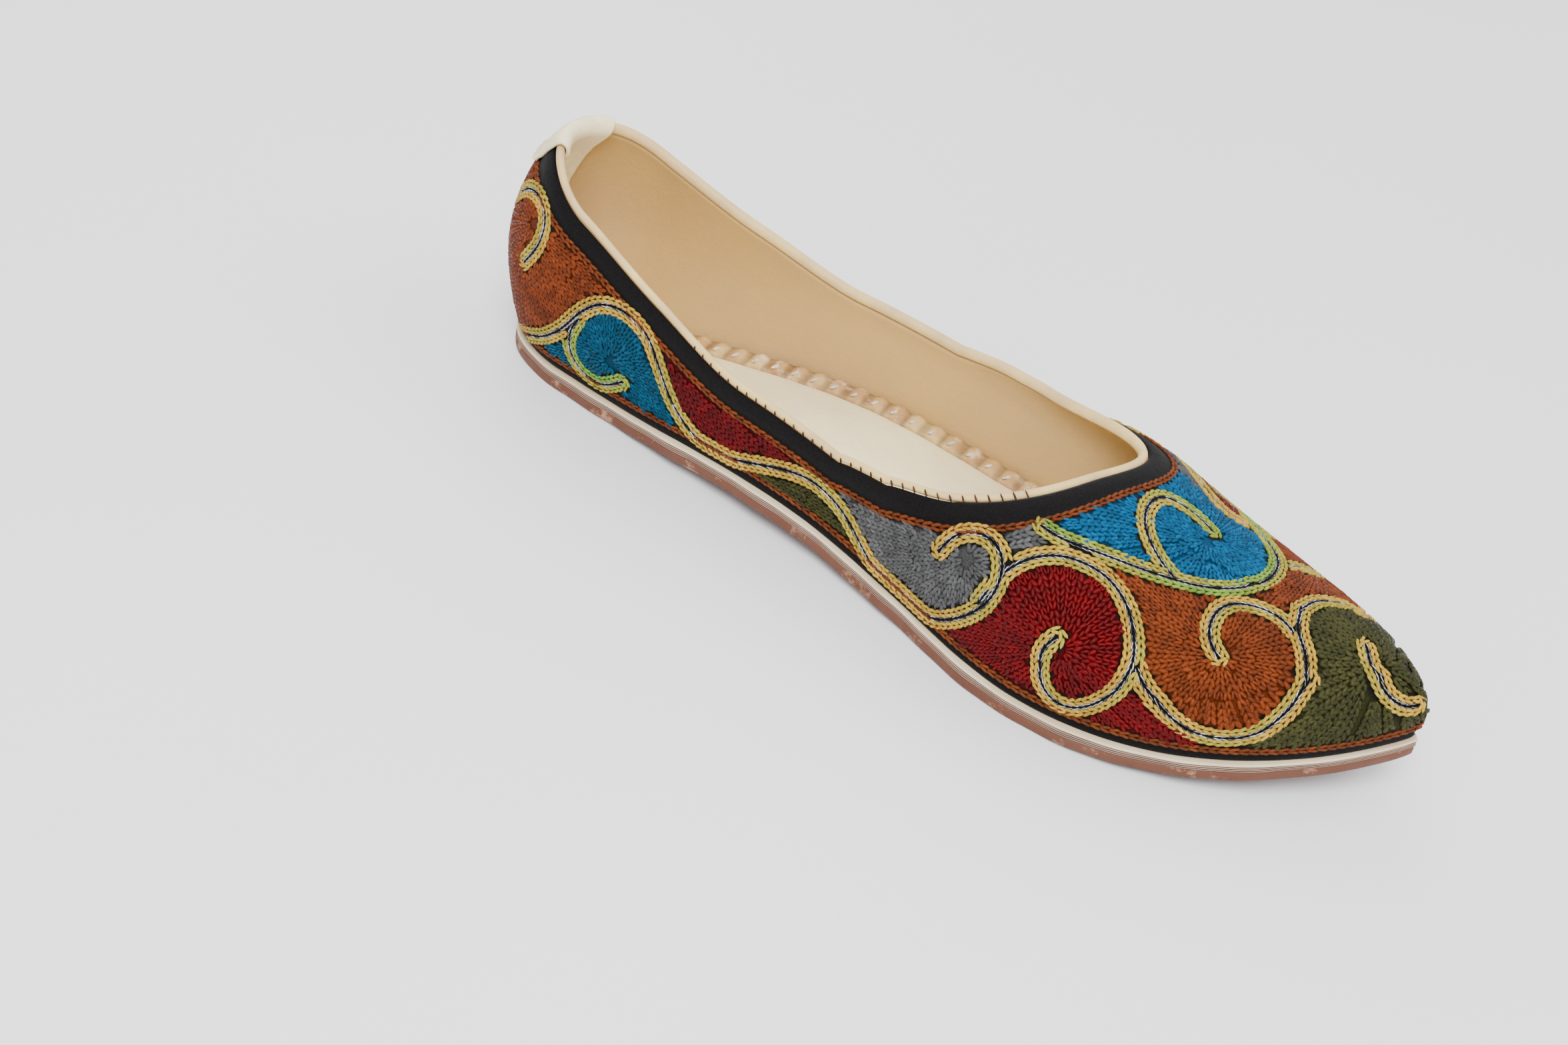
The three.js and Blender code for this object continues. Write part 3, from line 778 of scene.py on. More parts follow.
class MOJARI_OT_sole(bpy.types.Operator):
    """Outsole, layered midsole and welt, with edges that waver a little"""

    bl_idname = "mojari.sole"
    bl_label = "Sole"

    def execute(self, context):
        shades = context.scene.mojari_colours
        under = {"inset": -SOLE_LIP, "lip": SOLE_LIP, "room": 0.0}
        tan = leather("sole_leather", shades.sole, (0.36, 0.2, 0.13), 700.0, 0.62, 60.0, (0.72, 0.55, 0.42))
        plies = leather("ply_leather", (0.96, 0.95, 0.93), (0.8, 0.77, 0.74), 900.0, 0.7, 90.0, tone=True)
        cream = leather("welt_leather", shades.welt, (0.8, 0.72, 0.58), 800.0, 0.6, 50.0, tone=True)
        # Each layer's own light tone, and a dark one that is painted shade in the grooves between plies
        ply_tone_and_groove_shade = ((0.76, 0.63, 0.55), (0.18, 0.12, 0.1))
        welt_tone_and_groove_shade = ((1, 1, 1), (0.25, 0.19, 0.16))
        layer_piece("outsole_layer", "outsole_leather", tan, None, OUTSOLE_WAVE, EDGE_PHASE,
                    base=0.0, thickness=OUTSOLE, side=OUTSOLE_SIDE, **under)
        layer_piece("midsole_layer", "midsole_layers", plies, ply_tone_and_groove_shade, MIDSOLE_WAVE, EDGE_PHASE,
                    base=OUTSOLE + GAP * 0.4, thickness=MIDSOLE + GAP * 1.2, side=MIDSOLE_SIDE, **under)
        layer_piece("welt_layer", "welt_leather", cream, welt_tone_and_groove_shade, WELT_WAVE, EDGE_PHASE,
                    base=SOLE - WELT, thickness=WELT, side=WELT_SIDE, **under)
        return {"FINISHED"}


STRIP_INSET = FULL_WALL + GAP
INSOLE_INSET = STRIP_INSET + STRIP_WIDTH + GAP - 0.2


class MOJARI_OT_insole(bpy.types.Operator):
    """Smooth pale insole with a soft edge"""

    bl_idname = "mojari.insole"
    bl_label = "Insole"

    def execute(self, context):
        shades = context.scene.mojari_colours
        cream = leather("insole_leather", shades.insole, (0.86, 0.78, 0.64), 1300.0, 0.42, 22.0)
        layer_piece("insole_layer", "insole_leather", cream, None, INSOLE_WAVE, INSOLE_PHASE,
                    base=SOLE + GAP, thickness=INSOLE, inset=INSOLE_INSET, side=INSOLE_SIDE, lip=INSOLE,
                    room=TOE_ROOM)
        return {"FINISHED"}


# The strip's section: shares of its width and of its height
STRIP_SECTION = ((0, 0), (0, 0.7), (0.08, 1), (0.3, 1), (0.5, 1), (0.7, 1), (0.9, 0.95), (1, 0.7), (1, 0))

# Pleats: how sharp their valleys are, the painted shade in these and where it fades, the least part of their
# height near the strip's edges, and how far the inner edge swings
PLEAT_SHARPNESS = 1.4
PAINTED_PLEAT_SHADE = 0.5
PLEAT_FADE = (0.02, 0.3)
PLEAT_LEAST = 0.35
PLEAT_JOG = 0.35
JOG_FROM = 0.9

# The strip's stitches: their size, the share of the width where they stand, how high and how slanted they
# lie, and how much of the strip's two ends they leave free
STRIP_STITCH = (3.6, 1.1, 0.9)
STRIP_STITCH_AT = 0.62
STRIP_STITCH_LIFT = 0.55
STRIP_STITCH_SLANT = 0.55
FIRST_STITCH = 0.6
STITCHES_END = 4
TANGENT_STEP = 1.6


def strip_line(side, inset, up):
    walks = foot_walks()
    x = plan(walks, 0)[3]
    spine, back, out, _ = plan(walks, tuck(x) + inset, TOE_ROOM)
    px = spine + back
    return np.stack([px, side * out + swing(px), SOLE + GAP + up + ground(px)], -1)


def on_line(line, lengths, spots):
    """Points of a line at distances along it."""
    return np.stack([np.interp(spots, lengths, line[:, k]) for k in range(3)], 1)


def stitches(name, node_slot, seed, template, size, colour, tones, places, ahead, normals):
    """Straight stitches of uneven size and tone, with the thread's own material."""
    normals = square_to(normals, ahead)
    chance = np.random.default_rng(seed)
    sizes = np.array(size) * chance.uniform(0.8, 1.15, (len(places), 3))
    colours = linear(colour) * chance.uniform(*tones, (len(places), 1))
    mesh = scatter(name, template, places, ahead, normals, sizes, colours)
    finish_piece(name, mesh, thread(name.replace("stitches", "thread"), 0.7))


class MOJARI_OT_strip(bpy.types.Operator):
    """Pleated strip between the wall and the insole, and its thick white stitches"""

    bl_idname = "mojari.strip"
    bl_label = "Pleated strip"

    def execute(self, context):
        sizes, shades = context.scene.mojari_sizes, context.scene.mojari_colours
        pitch = sizes.pleat / MM

        def folds(side):
            lengths = lengths_of(strip_line(side, STRIP_INSET + STRIP_WIDTH / 2, 0))
            return lengths, 1 - np.abs(np.sin(math.pi * lengths / pitch + 0.5 * side)) ** PLEAT_SHARPNESS

        # Painted shade in the pleats' valleys, fading up their sides
        def tone(side):
            shade = lerp(PAINTED_PLEAT_SHADE, 1.0, smoothstep(folds(side)[1], *PLEAT_FADE))[:, None, None]
            return shade * np.ones((1, len(STRIP_SECTION), 3))

        def build(side):
            lengths, fold = folds(side)
            lines = []
            for across, rise in STRIP_SECTION:
                top = lerp(STRIP_OUTER_HEIGHT, STRIP_INNER_HEIGHT, across)
                pleat = fold * rise * lerp(PLEAT_LEAST, 1, math.sin(math.pi * min(across + 0.15, 1)))
                jog = PLEAT_JOG * np.sin(2 * math.pi * lengths / pitch) * (across >= JOG_FROM)
                line = strip_line(side, STRIP_INSET + across * STRIP_WIDTH + jog, top * rise)
                line[:, 2] += pleat
                lines.append(line)
            return np.stack(lines, 1)

        worn = (0.93, 0.84, 0.68)
        tan = leather("strip_leather", shades.strip, (0.66, 0.47, 0.3), 800.0, 0.5, 130.0, worn, tone=True)
        mesh = sheet("lasting_strip_pleats", both_sides(build), both_sides(tone))
        finish_piece("lasting_strip_pleats", mesh, tan, ("lasting_strip",))

        places, ahead, normals = [], [], []
        for side in (-1, 1):
            line = strip_line(side, STRIP_INSET + STRIP_STITCH_AT * STRIP_WIDTH, 0)
            lengths = lengths_of(line)
            spots = np.arange(pitch * FIRST_STITCH, lengths[-1] - STITCHES_END, pitch)
            at = on_line(line, lengths, spots)
            tangent = unit(on_line(line, lengths, spots + TANGENT_STEP) - at)
            inward = unit(np.cross(tangent, (0, 0, 1.0))) * -side
            at[:, 2] += lerp(STRIP_OUTER_HEIGHT, STRIP_INNER_HEIGHT, STRIP_STITCH_AT) + STRIP_STITCH_LIFT
            places.append(at)
            ahead.append(unit(inward + STRIP_STITCH_SLANT * tangent))
            normals.append(np.broadcast_to((0, 0, 1.0), at.shape))
        stitches("strip_stitches", "strip_leather", 5, lobe_template(0, 0, sides=8, rings=6), STRIP_STITCH,
                 (0.9, 0.87, 0.8), (0.75, 1.0), *(np.concatenate(rows) for rows in (places, ahead, normals)))
        return {"FINISHED"}


# The bare velvet, and how far it swells over the sole and in the band round the opening
INK = linear((0.07, 0.062, 0.062))
HEM_SWELL = 0.25
BAND_SWELL = 0.45
BAND_STEEPNESS = 5


def mixed(head, edge, t):
    return lerp(head[0], edge[0], t), lerp(head[1], edge[1], t)


class MOJARI_OT_upper(bpy.types.Operator):
    """Velvet ground of the upper: the strip over the sole, the field under the stitches and the band"""

    bl_idname = "mojari.upper"
    bl_label = "Velvet upper"

    def execute(self, context):
        depth = context.scene.mojari_sizes.ground_depth / MM

        def build(side):
            form = wall(side)
            rows = []
            for k in range(LOW_ROWS - 1):
                inset = EMBROIDERY - HEM_SWELL * (k == 1)
                rows.append(last_point(side, form.low_walk[:, k], form.low_angle[:, k], inset))
            rows += [last_point(side, *place, depth) for place in zip(form.walk.T, form.angle.T)]
            head, edge = rim(side, BAND_DROP, SHARES), rim(side, EDGE_DROP, SHARES)
            for t in np.linspace(0, 1, BAND_ROWS + 1)[1:]:
                inset = lerp(depth, EMBROIDERY, min(t * BAND_STEEPNESS, 1))
                inset -= BAND_SWELL * math.sin(math.pi * t)
                rows.append(last_point(side, *mixed(head, edge, t), inset))
            rows.append(last_point(side, *edge, EMBROIDERY + WALL / 2))
            return np.stack(rows, 1)

        tones = ground_tones()
        ink = np.broadcast_to(INK, (len(tones), 1, 3))
        tones = np.concatenate([ink.repeat(LOW_ROWS - 1, 1), tones, ink.repeat(BAND_ROWS + 1, 1)], 1)
        mesh = sheet("upper_velvet", both_sides(build), tones)
        finish_piece("upper_velvet", mesh, velvet("black_velvet"), ("upper",))
        return {"FINISHED"}


class MOJARI_OT_lining(bpy.types.Operator):
    """Smooth tan lining, from under the rolled edge down to the sole"""

    bl_idname = "mojari.lining"
    bl_label = "Lining"

    def execute(self, context):
        shades = context.scene.mojari_colours

        def build(side):
            form = wall(side)
            head, edge = rim(side, BAND_DROP, SHARES), rim(side, EDGE_DROP, SHARES)
            rows = [last_point(side, *edge, EMBROIDERY + WALL / 2)]
            for t in (1, 0.8, 0.5, 0.25):
                rows.append(last_point(side, *mixed(head, edge, t), FULL_WALL))
            for j in range(FIELD_ROWS, -1, -3):
                rows.append(last_point(side, form.walk[:, j], form.angle[:, j], FULL_WALL))
            rows.append(last_point(side, form.low_walk[:, 0], form.low_angle[:, 0], FULL_WALL))
            return np.stack(rows, 1)[::2]

        tan = leather("lining_leather", shades.lining, (0.73, 0.6, 0.42), 1200.0, 0.46, 16.0)
        mesh = sheet("upper_lining", both_sides(build))
        finish_piece("upper_lining", mesh, tan, ("upper",))
        return {"FINISHED"}


# Whip stitches: the part of the outer side that has them, where they run round the roll, and their size
WHIP_SPAN = (0.4, 0.9)
WHIP_TURNS = (-0.55, -1.0, -0.1)
WHIP_LIFT = 0.12
WHIP_STITCH = (2.3, 0.5, 0.4)


class MOJARI_OT_binding(bpy.types.Operator):
    """Rolled cream edge round the opening, and the dark whip stitches over it"""

    bl_idname = "mojari.binding"
    bl_label = "Rolled edge"

    def execute(self, context):
        sizes, shades = context.scene.mojari_sizes, context.scene.mojari_colours
        middle = EMBROIDERY + WALL / 2
        turns = np.linspace(0, 2 * math.pi, 17)

        def ring(side, turn, grow=0.0):
            drop = BINDING_HEIGHT / 2 - (BINDING_HEIGHT / 2 + grow) * math.sin(turn)
            inset = middle - (BINDING_WIDTH / 2 + grow) * math.cos(turn)
            return last_point(side, *rim(side, drop, SHARES), inset)

        mesh = sheet("topline_roll", both_sides(lambda side: np.stack([ring(side, t) for t in turns], 1)))
        cream = leather("binding_leather", shades.binding, (0.76, 0.64, 0.46), 1100.0, 0.5, 70.0)
        finish_piece("topline_roll", mesh, cream, ("topline_binding",))

        line, low, high = (ring(-1, turn, WHIP_LIFT) for turn in WHIP_TURNS)
        lengths = lengths_of(line)
        spots = np.arange(*(lengths[-1] * share for share in WHIP_SPAN), sizes.whip_pitch / MM)
        at, foot, head = (on_line(rows, lengths, spots) for rows in (line, low, high))
        core = on_line(ring(-1, math.pi / 2, -BINDING_HEIGHT / 2), lengths, spots)
        stitches("whip_stitches", "binding_leather", 3, lobe_template(0, 0, sides=6, rings=5), WHIP_STITCH,
                 (0.3, 0.19, 0.12), (0.7, 1.3), at, unit(head - foot), unit(at - core))
        return {"FINISHED"}


# The tab: shares of its drop outside, or of its way down the lining, and shares of its width
TAB_FLAP = ((1, 0.8), (0.975, 0.88), (0.95, 0.93), (0.92, 0.98), (0.9, 1))
TAB_LINING = ((0.12, 0.95), (0.3, 0.87), (0.5, 0.78), (0.75, 0.66), (1, 0.55))
TAB_COLUMNS = 45
TAB_RIPPLE = 0.08


class MOJARI_OT_heel_tab(bpy.types.Operator):
    """Cream leather tab folded over the heel's topline and down the lining"""

    bl_idname = "mojari.heel_tab"
    bl_label = "Heel tab"

    def execute(self, context):
        shades = context.scene.mojari_colours
        middle = EMBROIDERY + WALL / 2
        radius = BINDING_WIDTH / 2 + GAP
        reach = radius + TAB
        sections = [(TAB_DROP * down, -GAP - TAB, width) for down, width in TAB_FLAP]
        sections.append((BAND_DROP - STEP / 2, -GAP - TAB, 1))
        for drop in (BAND_DROP - 3 * STEP, BINDING_HEIGHT + 2, BINDING_HEIGHT):
            sections.append((drop, middle - radius - TAB, 1))
        for turn in np.linspace(0, math.pi, 10):
            sections.append((BINDING_HEIGHT / 2 - reach * math.sin(turn), middle - reach * math.cos(turn), 1))
        depth = HEEL_HEIGHT - TAB_LINING_END
        steps = np.linspace(0.12, 1, 12)
        widths = follow(TAB_LINING, steps)
        sections += [(depth * s, FULL_WALL + GAP + TAB, w) for s, w in zip(steps, widths)]
        columns = []
        for place in np.linspace(-TAB_WIDTH / 2, TAB_WIDTH / 2, TAB_COLUMNS):
            side = -1 if place > 0 else 1
            line = []
            for drop, inset, width in sections:
                ripple = TAB_RIPPLE * math.sin(place * 1.9 + drop * 0.7) * (drop > 3)
                walk, angle = rim_at(side, drop, abs(place) * width)
                line.append(last_point(side, walk, angle, inset + ripple))
            columns.append(np.array(line))
        mesh = sheet("heel_tab_fold", np.stack(columns))
        cream = leather("tab_leather", shades.tab, (0.84, 0.76, 0.6), 1000.0, 0.5, 90.0)
        piece = finish_piece("heel_tab_fold", mesh, cream, ("heel_tab",))
        wall_of = piece.modifiers.new("thickness", "SOLIDIFY")
        wall_of.thickness = TAB * MM
        wall_of.offset = -1
        return {"FINISHED"}


# The scrolls and fields below are places in the photograph's frame, seen 2000 units wide
UNIT = FRAME_WIDTH / 2000.0

# Each scroll: how green its gold is, whether the inner side repeats it, and the places that it passes
SCROLLS = {
    "wave": (0.1, True, (
        (662, 424), (690, 430), (715, 420), (738, 400), (762, 389), (788, 394), (811, 411), (828, 435),
        (840, 470), (855, 511), (876, 546), (902, 572), (932, 586), (966, 593), (1000, 600), (1031, 612),
        (1056, 632), (1076, 657), (1092, 686), (1108, 716), (1131, 749), (1161, 778), (1196, 791),
        (1232, 785), (1261, 765), (1276, 736), (1277, 706), (1262, 686), (1240, 678), (1215, 684),
        (1196, 704),
    )),
    "crimson": (0.15, True, (
        (1236, 783), (1260, 752), (1279, 731), (1295, 720), (1320, 710), (1350, 708), (1374, 714),
        (1396, 724), (1414, 737), (1428, 754), (1439, 775), (1445, 799), (1447, 824), (1445, 845),
        (1436, 864), (1422, 882), (1400, 897), (1376, 904), (1354, 901), (1337, 889), (1327, 871),
        (1324, 850), (1328, 831), (1337, 819), (1347, 813),
    )),
    "rust": (0.1, True, (
        (1448, 840), (1451, 858), (1460, 876), (1475, 897), (1495, 918), (1519, 934), (1549, 942),
        (1578, 943), (1608, 935), (1630, 919), (1649, 900), (1661, 879), (1666, 855), (1664, 830),
        (1657, 810), (1655, 793), (1661, 777), (1673, 767), (1689, 765), (1706, 768), (1722, 772),
    )),
    "rust_curl": (0.15, True, (
        (1656, 815), (1639, 792), (1617, 778), (1595, 771), (1572, 769), (1554, 777), (1544, 793),
        (1542, 812), (1547, 827), (1556, 840),
    )),
    "blue": (0.75, False, (
        (1330, 671), (1343, 680), (1358, 688), (1384, 698), (1409, 707), (1443, 720), (1468, 729),
        (1500, 739), (1532, 747), (1564, 750), (1593, 747), (1616, 739), (1629, 725), (1629, 708),
        (1614, 686), (1591, 661), (1564, 636), (1550, 625),
    )),
    "blue_curl": (0.6, False, (
        (1500, 738), (1483, 717), (1469, 693), (1461, 669), (1463, 649), (1474, 635), (1491, 634),
        (1513, 646), (1534, 662), (1549, 679),
    )),
    "teal_curl": (0.8, True, (
        (742, 402), (728, 420), (725, 441), (733, 463), (749, 481), (769, 492), (793, 488),
    )),
    "heel_curl": (0.1, True, (
        (668, 334), (685, 314), (694, 288), (693, 263), (684, 246), (671, 240), (659, 251),
    )),
    "toe_curl": (0.1, False, (
        (1743, 823), (1746, 842), (1755, 862), (1768, 884), (1783, 898), (1800, 903), (1812, 899),
    )),
}

# Each field: its colour's name, whether the inner side repeats it, where its rows spread from, and other
# places in it
FIELDS = (
    ("rust", True, (682, 285), ((690, 360), (715, 300), (700, 215), (760, 350))),
    ("teal", True, (778, 462), ((800, 450), (845, 540), (700, 450), (742, 520))),
    ("wine", True, (850, 455), ((900, 530), (960, 572), (860, 480))),
    ("olive", True, (960, 600), ((1000, 622), (1040, 660), (1085, 730))),
    ("grey", True, (1232, 715), ((1120, 680), (1170, 740), (1230, 730), (1130, 655), (1290, 690))),
    ("crimson", True, (1352, 828), (
        (1300, 790), (1390, 770), (1400, 840), (1270, 830), (1440, 920), (1380, 880),
    )),
    ("rust", True, (1556, 838), (
        (1500, 850), (1580, 900), (1630, 860), (1490, 790), (1600, 800), (1625, 766),
    )),
    ("blue", False, (1540, 690), ((1500, 690), (1590, 720), (1400, 670), (1480, 610))),
    ("toe", False, (1765, 850), ((1700, 820), (1720, 900), (1790, 860), (1690, 920), (1780, 940))),
)

# Scroll lines: half their width, how low they may run except near their ends, and the steps along them
SCROLL_HALF = 2.35
LOWEST_SCROLL = 1.5
FREE_ENDS = (4.0, 10.0)
PATH_PARTS = 10
PATH_STEP = 0.6
PATH_SMOOTHING = 12

# Repeated scrolls: how near they come to one that crosses the ridge, from which share of half the way round
# they are free of it, and up to how many points a run is left out
TWIN_CLEARANCE = 1.3 * SCROLL_HALF
TWIN_FREE = 1.6
SHORTEST_TWIN = 10

BORDER_INSET = 0.9
BORDER_SAMPLES = 1800
LEAST_FACING = -0.05
PROJECTION_ROUNDS = 4


def smooth_path(places):
    """A rounded line through places."""
    p = np.array([places[0], *places, places[-1]], float)
    parts = []
    t = np.linspace(0, 1, PATH_PARTS, endpoint=False)[:, None]
    for a, b, c, d in zip(p, p[1:], p[2:], p[3:]):
        square, cube = 2 * a - 5 * b + 4 * c - d, 3 * b - a - 3 * c + d
        parts.append(0.5 * (2 * b + (c - a) * t + square * t**2 + cube * t**3))
    parts.append(p[-1:])
    return np.concatenate(parts)


@functools.lru_cache(maxsize=None)
def seen_grid():
    """The part of the field's grid that faces the camera, and where the photograph shows it."""
    form = round_field()
    u, v = np.meshgrid(np.arange(form.last + 1.0), np.arange(FIELD_ROWS + 1.0), indexing="ij")
    normals = form.slopes(u, v)[2]
    eye = -LOOK.T @ PLACE
    facing = np.sum(normals * unit(eye - form.points), -1) > LEAST_FACING
    return u[facing], v[facing], to_pixels(form.points[facing])


def on_field(places):
    """The field's grid at places of the photograph."""
    pixels = np.array(places, float) * UNIT
    form = round_field()
    u, v, seen = seen_grid()
    near = np.argmin(((pixels[:, None] - seen[None]) ** 2).sum(-1), axis=1)
    u, v = u[near].copy(), v[near].copy()
    for _ in range(PROJECTION_ROUNDS):
        miss = pixels - to_pixels(form.at(u, v))
        du = to_pixels(form.at(u + 0.5, v)) - to_pixels(form.at(u - 0.5, v))
        dv = to_pixels(form.at(u, v + 0.5)) - to_pixels(form.at(u, v - 0.5))
        area = du[:, 0] * dv[:, 1] - du[:, 1] * dv[:, 0]
        area = np.where(np.abs(area) < 1, np.inf, area)
        u = u + np.clip((miss[:, 0] * dv[:, 1] - miss[:, 1] * dv[:, 0]) / area, -1, 1)
        v = v + np.clip((du[:, 0] * miss[:, 1] - du[:, 1] * miss[:, 0]) / area, -1, 1)
        u, v = form.clip(u, v)
    return u, v


def resample(u, v, pitch):
    lengths = lengths_of(round_field().at(u, v))
    spots = np.arange(0, lengths[-1], pitch)
    return np.interp(spots, lengths, u), np.interp(spots, lengths, v)


def soften(values, times):
    for _ in range(times):
        inner = (values[:-2] + 2 * values[1:-1] + values[2:]) / 4
        values = np.concatenate([values[:1], inner, values[-1:]])
    return values


@functools.lru_cache(maxsize=None)
def scroll_paths():
    """Centre lines of the scrolls in the grid, with the ones that the inner side repeats."""
    form = round_field()
    heights = form.heights()
    paths, twins = [], []
    for green, twin, places in SCROLLS.values():
        u, v = resample(*on_field(smooth_path(places)), PATH_STEP)
        from_end = PATH_STEP * np.minimum(np.arange(len(u)), np.arange(len(u))[::-1])
        low = FIELD_ROWS * LOWEST_SCROLL / np.interp(u, np.arange(len(heights), dtype=float), heights)
        low = low * smoothstep(from_end, *FREE_ENDS)
        u, v = soften(u, PATH_SMOOTHING), soften(np.maximum(v, low), PATH_SMOOTHING)
        paths.append((green, u, v))
        if twin:
            twins.append((green, form.last - u, v))
    middle = form.last / 2
    over_ridge = [form.at(u, v)[u > middle] for _, u, v in paths if (u > middle + 1).any()]
    crossing = tree_of(np.concatenate(over_ridge))
    for green, u, v in twins:
        clear = nearest(crossing, form.at(u, v)) > TWIN_CLEARANCE
        free = (u > middle) & (clear | (u > TWIN_FREE * middle))
        for run in np.split(np.arange(len(u)), np.flatnonzero(np.diff(free)) + 1):
            if free[run[0]] and len(run) > SHORTEST_TWIN:
                paths.append((green, u[run], v[run]))
    return paths


@functools.lru_cache(maxsize=None)
def all_fields():
    """Each field's colour, the place that its rows spread from, and places inside it."""
    form = round_field()
    fields = []
    for name, twin, centre, seeds in FIELDS:
        u, v = on_field((centre, *seeds))
        fields.append((name, u, v))
        if twin:
            fields.append((name, form.last - u, v))
    return fields


@functools.lru_cache(maxsize=None)
def border_rows():
    """The rust rows under the velvet band and over the sole."""
    heights = round_field().heights()
    columns = np.arange(len(heights), dtype=float)
    u = np.linspace(0, columns[-1], BORDER_SAMPLES)
    top = np.interp(u, columns, FIELD_ROWS * (1 - BORDER_INSET / heights))
    low = np.interp(u, columns, FIELD_ROWS * (BORDER_INSET / heights))
    return (u, top), (u, low)


def tree_of(points):
    tree = kdtree.KDTree(len(points))
    for k, point in enumerate(points):
        tree.insert(point, k)
    tree.balance()
    return tree


def nearest(tree, points):
    return np.array([tree.find(point)[2] for point in points])


# Fields first fill what lies this far from the scrolls, and then the rest
BARRIER = 1.6

# The ground under a field is its colour, this much darker as painted shade between its rows, from this far
# off the scrolls and the border rows
GAP_SHADE_TINT = 0.62
GROUND_FADE = (1.6, 2.3)
SCROLL_SHADE = 1.2
BORDER_SHADE = 0.7


@functools.lru_cache(maxsize=None)
def regions():
    """For each point of the grid: its field, and how far the nearest scroll and border are."""
    form = round_field()
    shape = form.points.shape[:2]
    lines = np.concatenate([form.at(u, v) for _, u, v in scroll_paths()])
    borders = np.concatenate([form.at(*row)[::2] for row in border_rows()])
    flat = form.points.reshape(-1, 3)
    to_scroll = nearest(tree_of(lines), flat).reshape(shape)
    to_border = nearest(tree_of(borders), flat).reshape(shape)
    label = np.full(shape, -1)
    front = []
    for k, (_, u, v) in enumerate(all_fields()):
        for i, j in zip(np.rint(u[1:]).astype(int), np.rint(v[1:]).astype(int)):
            label[i, j] = k
            front.append((i, j))
    for barrier in (BARRIER, 0.0):
        free = to_scroll > barrier
        while front:
            ahead = []
            for i, j in front:
                for a, b in ((i + 1, j), (i - 1, j), (i, j + 1), (i, j - 1)):
                    if 0 <= a < shape[0] and 0 <= b < shape[1] and label[a, b] < 0 and free[a, b]:
                        label[a, b] = label[i, j]
                        ahead.append((a, b))
            front = ahead
        front = [tuple(place) for place in np.argwhere(label >= 0)]
    return label, to_scroll, to_border


def ground_tones():
    """Tones of the velvet: dark beside the scrolls, and under each field's rows its colour darkened as
    painted shade.
    """
    label, to_scroll, to_border = regions()
    shades = bpy.context.scene.mojari_colours
    # Each field's own colour, darkened as painted shade in the gaps between its rows
    tones = np.array([linear(getattr(shades, name)) * GAP_SHADE_TINT for name, _, _ in all_fields()])
    bare = smoothstep(np.minimum(to_scroll - SCROLL_SHADE, to_border + BORDER_SHADE), *GROUND_FADE)[..., None]
    return lerp(INK, tones[np.maximum(label, 0)], bare)


def shifted(u, v, distance):
    """A line beside another one, at a distance to its left."""
    form = round_field()
    ahead = unit(np.gradient(form.at(u, v), axis=0))
    left = unit(np.cross(form.slopes(u, v)[2], ahead))
    du, dv = form.shift(u, v, left * distance)
    return form.clip(u + du, v + dv)


def around(u, v, distance):
    """A closed line at a distance from an open one, with rounded ends."""
    form = round_field()
    sides = []
    for sign in (1, -1):
        row_u, row_v = shifted(u, v, sign * distance)
        sides.append((soften(row_u, 5), soften(row_v, 5)))
    ends = []
    turn = np.linspace(0, math.pi, 11)[1:-1, None]
    for at, before in ((-1, -4), (0, 3)):
        end_u, end_v = np.repeat(u[at], len(turn)), np.repeat(v[at], len(turn))
        ahead = unit(form.at(u[[at]], v[[at]]) - form.at(u[[before]], v[[before]]))
        left = unit(np.cross(form.slopes(end_u[:1], end_v[:1])[2], ahead))
        du, dv = form.shift(end_u, end_v, (left * np.cos(turn) + ahead * np.sin(turn)) * distance)
        ends.append(form.clip(end_u + du, end_v + dv))
    (left_u, left_v), (right_u, right_v) = sides
    (tip_u, tip_v), (root_u, root_v) = ends
    return (np.concatenate([left_u, tip_u, right_u[::-1], root_u]),
            np.concatenate([left_v, tip_v, right_v[::-1], root_v]))


def links_along(u, v, pitch):
    """Places, directions and normals of chain links along a line of the grid."""
    form = round_field()
    u, v = resample(u, v, pitch)
    points = form.at(u, v)
    ahead = unit(np.gradient(points, axis=0))
    normals = form.slopes(u, v)[2]
    return points, square_to(ahead, normals), normals


def stitched(name, template, rows, material):
    """Joins the links of several rows into one piece."""
    mesh = scatter(name, template, *(np.concatenate(column) for column in zip(*rows)))
    finish_piece(name, mesh, material)


LINK = lobe_template(math.radians(19), 0.26, 0.26, 0.36)
FILL_LINK = lobe_template(math.radians(22), 0.25, 0.29, 0.38)
WIRE_LINK = lobe_template(math.radians(15), 0.32, 0.14, 0.22)

# Links are left out nearer to another row than this share of a row's width
ROW_CLEARANCE = 0.66
FAR_OFF = -999.0
SILVER_TONES = linear((0.2, 0.2, 0.22)), linear((0.82, 0.82, 0.84))

# Heights of the links, and how deep they lie in the velvet
GOLD_HIGH, SILVER_HIGH, BORDER_HIGH = 1.35, 1.0, 1.2
GOLD_SINK, SILVER_SINK, BORDER_SINK = 0.2, 0.3, 0.28


